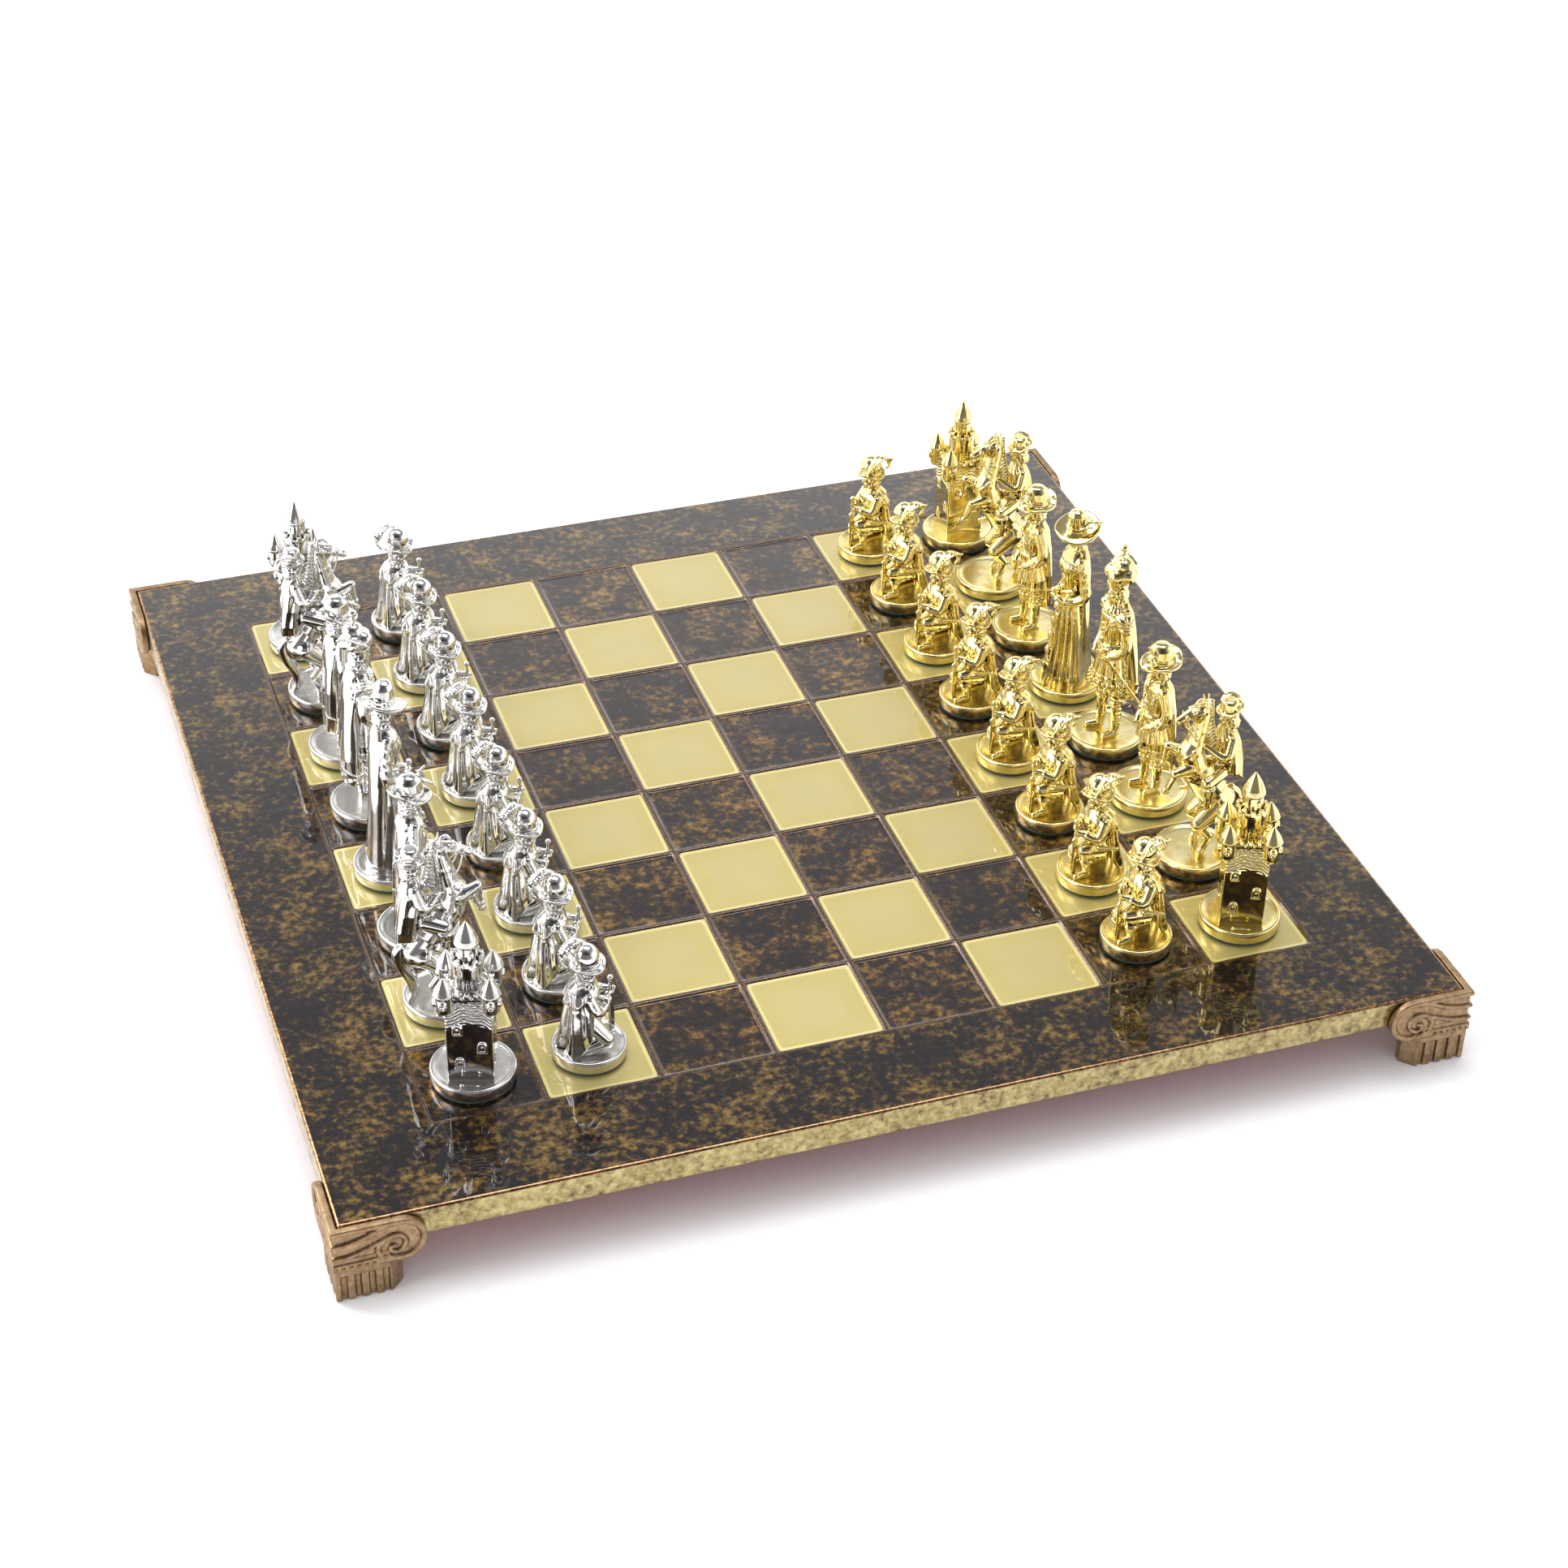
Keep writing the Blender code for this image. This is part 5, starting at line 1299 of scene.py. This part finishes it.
def lacquered_board():
    """Squares, ridges and border under one clear lacquer."""
    look = Look("patinated_brass", Coat_Weight=1.0, Coat_Roughness=0.03, Coat_IOR=1.52)
    where = look.place(PER_MM)
    split = look.node("ShaderNodeSeparateXYZ")
    look.feed(split.inputs[0], where)
    cells, nears, outs = [], [], []
    for axis in (0, 1):
        along = look.math("MULTIPLY_ADD", split.outputs[axis], 1 / PITCH, 4.0)
        cells.append(look.math("FLOOR", along))
        middle = look.math("ABSOLUTE", look.math("SUBTRACT", look.math("FRACT", along), 0.5))
        nears.append(look.math("MULTIPLY_ADD", middle, -PITCH, PITCH / 2))
        outs.append(look.math("ABSOLUTE", split.outputs[axis]))
    near = look.node("ShaderNodeMath", operation="SMOOTH_MIN")
    for socket, value in zip(near.inputs, (*nears, 2.6)):
        look.feed(socket, value)
    near = near.outputs[0]
    out = look.math("MAXIMUM", *outs)
    play = look.math("LESS_THAN", out, PLAY + 0.75)
    odd = look.math("FLOORED_MODULO", look.math("ADD", *cells), 2.0)
    odd = look.math("MULTIPLY", odd, look.math("LESS_THAN", out, PLAY))
    light = look.math("MULTIPLY", odd, look.fade(near, 1.25, 1.5))
    ridge = look.math("MULTIPLY", play, look.fade(near, 1.5, 1.2))
    # the dark patina: soft amber flecks, gathered in patches, on purple black
    fleck = look.noise(where, 0.30, 3.0, 0.62)
    patch = look.noise(where, 0.055, 2.0, 0.5)
    fine = look.noise(where, 1.1, 2.0, 0.6)
    mottle = look.math("ADD", look.math("MULTIPLY", fleck, 0.62), look.math("MULTIPLY", patch, 0.38))
    border = look.ramp(mottle, (0.43, (0.006, 0.0032, 0.0042)), (0.50, (0.026, 0.013, 0.007)),
                       (0.56, (0.115, 0.066, 0.014)), (0.66, (0.29, 0.180, 0.045)))
    inner = look.ramp(mottle, (0.43, (0.010, 0.005, 0.006)), (0.51, (0.040, 0.018, 0.007)),
                      (0.57, (0.14, 0.072, 0.014)), (0.66, (0.33, 0.19, 0.045)))
    dark = look.mix(look.math("LESS_THAN", out, PLAY), border, inner)
    # the champagne squares: a greyer middle, and a painted highlight as a paler band round each tray's
    # floor
    pale = look.mix(look.fade(near, 4.0, 15.0), (0.52, 0.435, 0.150), (0.53, 0.445, 0.195))
    # painted highlight: a paler band about 1.5 to 3 mm in from the square's edge, where the tray's wall
    # meets its floor
    pale = look.mix(look.math("MULTIPLY", look.fade(near, 1.5, 1.8), look.fade(near, 3.1, 2.5)), pale,
                    (0.74, 0.64, 0.26))
    pale = look.mix(look.fade(patch, 0.3, 0.7, 0.0, 0.25), pale, (0.60, 0.51, 0.20))
    worn = look.ramp(fine, (0.3, (0.035, 0.018, 0.010)), (0.55, (0.10, 0.055, 0.028)),
                     (0.75, (0.22, 0.13, 0.065)))
    colour = look.mix(light, dark, pale)
    look.colour(look.mix(ridge, colour, worn))
    look.roughness(look.math("ADD", look.fade(light, 0.0, 1.0, 0.30, 0.42),
                             look.math("MULTIPLY", fine, 0.08)))
    look.feed(look.shader.inputs["Metallic"], look.fade(light, 0.0, 1.0, 0.8, 0.62))
    ripple = look.bump(look.noise(where, 0.09, 1.0, 0.5), 0.0002, 0.25)
    look.tree.links.new(ripple.outputs[0], look.shader.inputs["Coat Normal"])
    return look.material


def brass_edge():
    look = Look("brass_edge", metallic=1.0, Coat_Weight=0.4, Coat_Roughness=0.1)
    where = look.place(PER_MM)
    fleck = look.noise(where, 0.30, 4.0, 0.65, 0.5)
    patch = look.noise(where, 0.05, 2.0, 0.5)
    look.colour(look.ramp(look.math("ADD", look.math("MULTIPLY", fleck, 0.7),
                                    look.math("MULTIPLY", patch, 0.3)), (0.36, (0.10, 0.075, 0.035)),
                          (0.46, (0.31, 0.24, 0.10)), (0.60, (0.52, 0.43, 0.19)),
                          (0.75, (0.62, 0.53, 0.28))))
    look.roughness(look.fade(fleck, 0.3, 0.7, 0.42, 0.3))
    look.bump(fleck, 0.0002, 0.4)
    return look.material


def grained(name, noise, stops, worn, bump, **fixed):
    """A material whose colour, roughness and bump all follow one fine noise."""
    look = Look(name, **fixed)
    grain = look.noise(look.place(PER_MM), *noise)
    look.colour(look.ramp(grain, *stops))
    look.roughness(look.fade(grain, *worn))
    look.bump(grain, *bump)
    return look.material


def copper_corner():
    return grained("copper_corner", (0.6, 3.0, 0.6), ((0.35, (0.16, 0.08, 0.035)),
                                                      (0.55, (0.38, 0.21, 0.09)),
                                                      (0.75, (0.55, 0.36, 0.17))), (0.3, 0.7, 0.22, 0.36),
                   (0.0001, 0.4), metallic=1.0, Coat_Weight=0.6, Coat_Roughness=0.05)


def cloth(name, low, high, scale):
    return grained(name, (scale, 4.0, 0.75, 1.2), ((0.3, low), (0.7, high)), (0.2, 0.8, 0.85, 1.0),
                   (0.0004, 0.8), Sheen_Weight=0.6, Sheen_Roughness=0.5)


def pressed_board():
    return grained("core_board", (0.9, 4.0, 0.7), ((0.3, (0.30, 0.20, 0.12)), (0.7, (0.52, 0.39, 0.26))),
                   (0.2, 0.8, 0.75, 0.9), (0.0003, 0.6))


def plated_steel():
    return grained("screw_steel", (2.0, 3.0, 0.6), ((0.3, (0.42, 0.42, 0.43)), (0.7, (0.62, 0.62, 0.63))),
                   (0.2, 0.8, 0.28, 0.42), (0.0001, 0.4), metallic=1.0)


# the third colour of each cast metal is its patina in crevices and its painted shade in wider hollows
LOOKS = {"bright_nickel": cast_metal("bright_nickel", (0.82, 0.81, 0.79), (0.64, 0.625, 0.605),
                                     (0.070, 0.062, 0.056)), "polished_gold": cast_metal("polished_gold",
                                                                                         (0.93, 0.82, 0.44),
                                                                                         (0.80, 0.64, 0.24),
                                                                                         (0.12, 0.070,
                                                                                          0.014)),
         "antique_bronze": bronze(), "patinated_brass": lacquered_board(), "brass_edge": brass_edge(),
         "copper_corner": copper_corner(), "red_felt": cloth("red_felt", (0.30, 0.012, 0.022),
                                                             (0.52, 0.035, 0.055), 2.2),
         "base_felt": cloth("base_felt", (0.004, 0.030, 0.020), (0.010, 0.075, 0.048), 2.6),
         "core_board": pressed_board(), "screw_steel": plated_steel(),}


# ---------------------------------------------------------------- pieces in place
def show(name, mesh, material, where=(0, 0, 0), turn=0.0):
    """A piece at a place; its material is set on the object, since pieces share meshes."""
    obj = bpy.data.objects.new(name, mesh)
    SCENE.collection.objects.link(obj)
    if not mesh.materials:
        mesh.materials.append(None)
    obj.material_slots[0].link = "OBJECT"
    obj.material_slots[0].material = LOOKS[material]
    obj.location = where
    obj.rotation_euler = (0, 0, turn)
    return obj


def build_board():
    mesh = board_mesh()
    for slot in ("patinated_brass", "brass_edge", "copper_corner"):
        mesh.materials.append(LOOKS[slot])
    sheet = bpy.data.objects.new("formed_sheet", mesh)
    SCENE.collection.objects.link(sheet)
    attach(sheet, "board")
    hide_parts("top_plate")
    for node, slot in (("board_core", "core_board"), ("underside_felt", "red_felt")):
        frame["nodes"][node].material_slots[0].material = LOOKS[slot]
    for node, obj in frame["nodes"].items():
        if node.startswith("screw_"):
            obj.material_slots[0].material = LOOKS["screw_steel"]


def build_feet():
    mesh = clay_mesh("corner_foot", foot_clay())
    for node, turn in (("foot_front_left", 0), ("foot_front_right", 1), ("foot_back_right", 2),
                       ("foot_back_left", 3)):
        low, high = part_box(node)
        x = low.x if low.x + high.x < 0 else high.x
        y = low.y if low.y + high.y < 0 else high.y
        foot = show(f"cast_{node}", mesh, "antique_bronze", (x, y, low.z), turn * math.pi / 2)
        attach(foot, "board")
        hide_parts(node)


def felt_disc(name, narrower=0.0):
    points, quads = lathe(narrowed(FELT_PROFILE, narrower))
    mesh = bpy.data.meshes.new(name)
    mesh.from_pydata([tuple(p * MM) for p in points], [], [tuple(int(i) for i in q) for q in quads])
    mesh.polygons.foreach_set("use_smooth", np.ones(len(quads), bool))
    mesh.update()
    mesh.set_sharp_from_angle(angle=math.radians(40))
    return mesh


SIDES = {"silver": ("bright_nickel", 0.0, -18), "gold": ("polished_gold", math.pi, -22)}


def build_men():
    """Every man on its square; the two front rooks are turned as in the photo."""
    felts, meshes = {}, {}
    for kind, sculpt in FIGURES.items():
        narrower = PAWN_NARROWER if kind == "pawn" else 0.0
        felts[kind] = felt_disc(f"felt_{kind}", narrower)
        meshes[kind] = clay_mesh(kind, sculpt(), lathe(narrowed(BASE_PROFILE, narrower)))
    for body in frame["bodies"]:
        side, _, rest = body.partition("_")
        kind = rest.split("_")[0]
        if kind not in meshes:
            continue
        low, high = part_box(body)
        # a horse reaches past its base, so a knight takes its place across the board from the rook
        x_low, x_high = (v.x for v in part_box(f"{side}_rook_1" if kind == "knight" else body))
        x = (x_low + x_high) / 2
        y = (low.y + high.y) / 2
        metal, turn, rook_turn = SIDES[side]
        if kind == "rook" and y < 0:
            turn = math.radians(rook_turn)
        man = show(f"cast_{body}", meshes[kind], metal, (x, y, low.z), turn)
        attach(man, body)
        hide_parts(body)
        disc = show(f"felt_{body}", felts[kind], "base_felt", (x, y, low.z))
        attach(disc, body)


build_board()
build_feet()
build_men()


# ---------------------------------------------------------------- stage, light and camera
FLOOR_SIZE = 40.0
SENSOR_WIDTH = 36.0
LENS = 72.43
CAMERA_PLACE = (-0.3381, -1.0315, 0.794)
CAMERA_TURN = (-19.03, 35.23, 0.97)
CAMERA_SIDE = (-0.30, -0.90, 0.30)
FILL_STRENGTH = 0.80
ROOM_STRENGTH = 1.42


def paper():
    look = Look("white_paper", Specular_IOR_Level=0.1)
    grain = look.noise(look.place(1.0), 300.0, 2.0, 0.5)
    look.colour(look.ramp(grain, (0.2, (0.90, 0.90, 0.91)), (0.8, (0.93, 0.93, 0.94))))
    look.roughness(look.fade(grain, 0.2, 0.8, 0.85, 0.95))
    return look.material


def square_sheet(name, size):
    mesh = bpy.data.meshes.new(name)
    half = size / 2
    mesh.from_pydata([(-half, -half, 0), (half, -half, 0), (half, half, 0), (-half, half, 0)], [],
                     [(0, 1, 2, 3)])
    obj = bpy.data.objects.new(name, mesh)
    SCENE.collection.objects.link(obj)
    return obj


def aimed(obj, where, target=(0, 0, 0.05)):
    obj.location = where
    obj.rotation_euler = (Vector(target) - Vector(where)).to_track_quat("-Z", "Y").to_euler()


def soft_light(name, where, width, height, power, colour=(1, 1, 1)):
    data = bpy.data.lights.new(name, "AREA")
    data.shape = "RECTANGLE"
    data.size = width
    data.size_y = height
    data.energy = power
    data.color = colour
    obj = bpy.data.objects.new(name, data)
    SCENE.collection.objects.link(obj)
    aimed(obj, where)


def build_world():
    """A plain white studio, which polished metal mirrors as a room: pale below, dark above and behind
    the camera."""
    world = bpy.data.worlds.new("studio")
    SCENE.world = world
    world.use_nodes = True
    tree = world.node_tree
    new, link = tree.nodes.new, tree.links.new
    plain = tree.nodes["Background"]
    plain.inputs["Color"].default_value = (1.0, 1.0, 1.0, 1.0)
    plain.inputs["Strength"].default_value = FILL_STRENGTH
    direction = new("ShaderNodeTexCoord").outputs["Generated"]
    split = new("ShaderNodeSeparateXYZ")
    link(direction, split.inputs[0])
    height = colour_ramp(tree, split.outputs["Z"], (0.0, (1.0, 1.0, 1.0)), (0.50, (1.0, 1.0, 1.0)),
                         (0.60, (0.42, 0.42, 0.43)), (0.70, (0.24, 0.24, 0.25)))
    toward = new("ShaderNodeVectorMath")
    toward.operation = "DOT_PRODUCT"
    toward.inputs[1].default_value = Vector(CAMERA_SIDE).normalized()
    link(direction, toward.inputs[0])
    camera_side = colour_ramp(tree, toward.outputs["Value"], (0.50, (1.0, 1.0, 1.0)),
                              (0.78, (0.16, 0.15, 0.15)))
    both = new("ShaderNodeMix")
    both.data_type, both.blend_type = "RGBA", "MULTIPLY"
    both.inputs[0].default_value = 1.0
    link(height, both.inputs[6])
    link(camera_side, both.inputs[7])
    room = new("ShaderNodeBackground")
    room.inputs["Strength"].default_value = ROOM_STRENGTH
    link(both.outputs[2], room.inputs["Color"])
    pick = new("ShaderNodeMixShader")
    link(new("ShaderNodeLightPath").outputs["Is Glossy Ray"], pick.inputs[0])
    link(plain.outputs[0], pick.inputs[1])
    link(room.outputs[0], pick.inputs[2])
    link(pick.outputs[0], tree.nodes["World Output"].inputs["Surface"])


def build_stage():
    floor = square_sheet("floor", FLOOR_SIZE)
    floor.data.materials.append(paper())
    build_world()
    soft_light("key_left_back", (-1.3, 1.2, 1.7), 1.1, 1.1, 34, (1.0, 0.99, 0.97))
    soft_light("top", (0.2, 0.3, 2.0), 1.4, 0.9, 22, (0.98, 0.99, 1.0))
    soft_light("side_left", (-1.9, -0.3, 0.9), 0.9, 1.1, 12)


def build_camera():
    """The camera solved from the photo's grid of squares, board corners and feet."""
    data = bpy.data.cameras.new("camera")
    data.sensor_width = SENSOR_WIDTH
    data.lens = LENS
    data.clip_start = 0.05
    data.clip_end = 100.0
    camera = bpy.data.objects.new("camera", data)
    SCENE.collection.objects.link(camera)
    azimuth, elevation, roll = (math.radians(a) for a in CAMERA_TURN)
    back = Vector((math.sin(azimuth) * math.cos(elevation), -math.cos(azimuth) * math.cos(elevation),
                   math.sin(elevation)))
    aim = (-back).to_track_quat("-Z", "Y").to_matrix()
    camera.matrix_world = Matrix.Translation(CAMERA_PLACE) @ aim.to_4x4() @ Matrix.Rotation(roll, 4, "Z")
    SCENE.camera = camera


build_stage()
build_camera()
SCENE.view_settings.view_transform = "Standard"
SCENE.view_settings.look = "None"
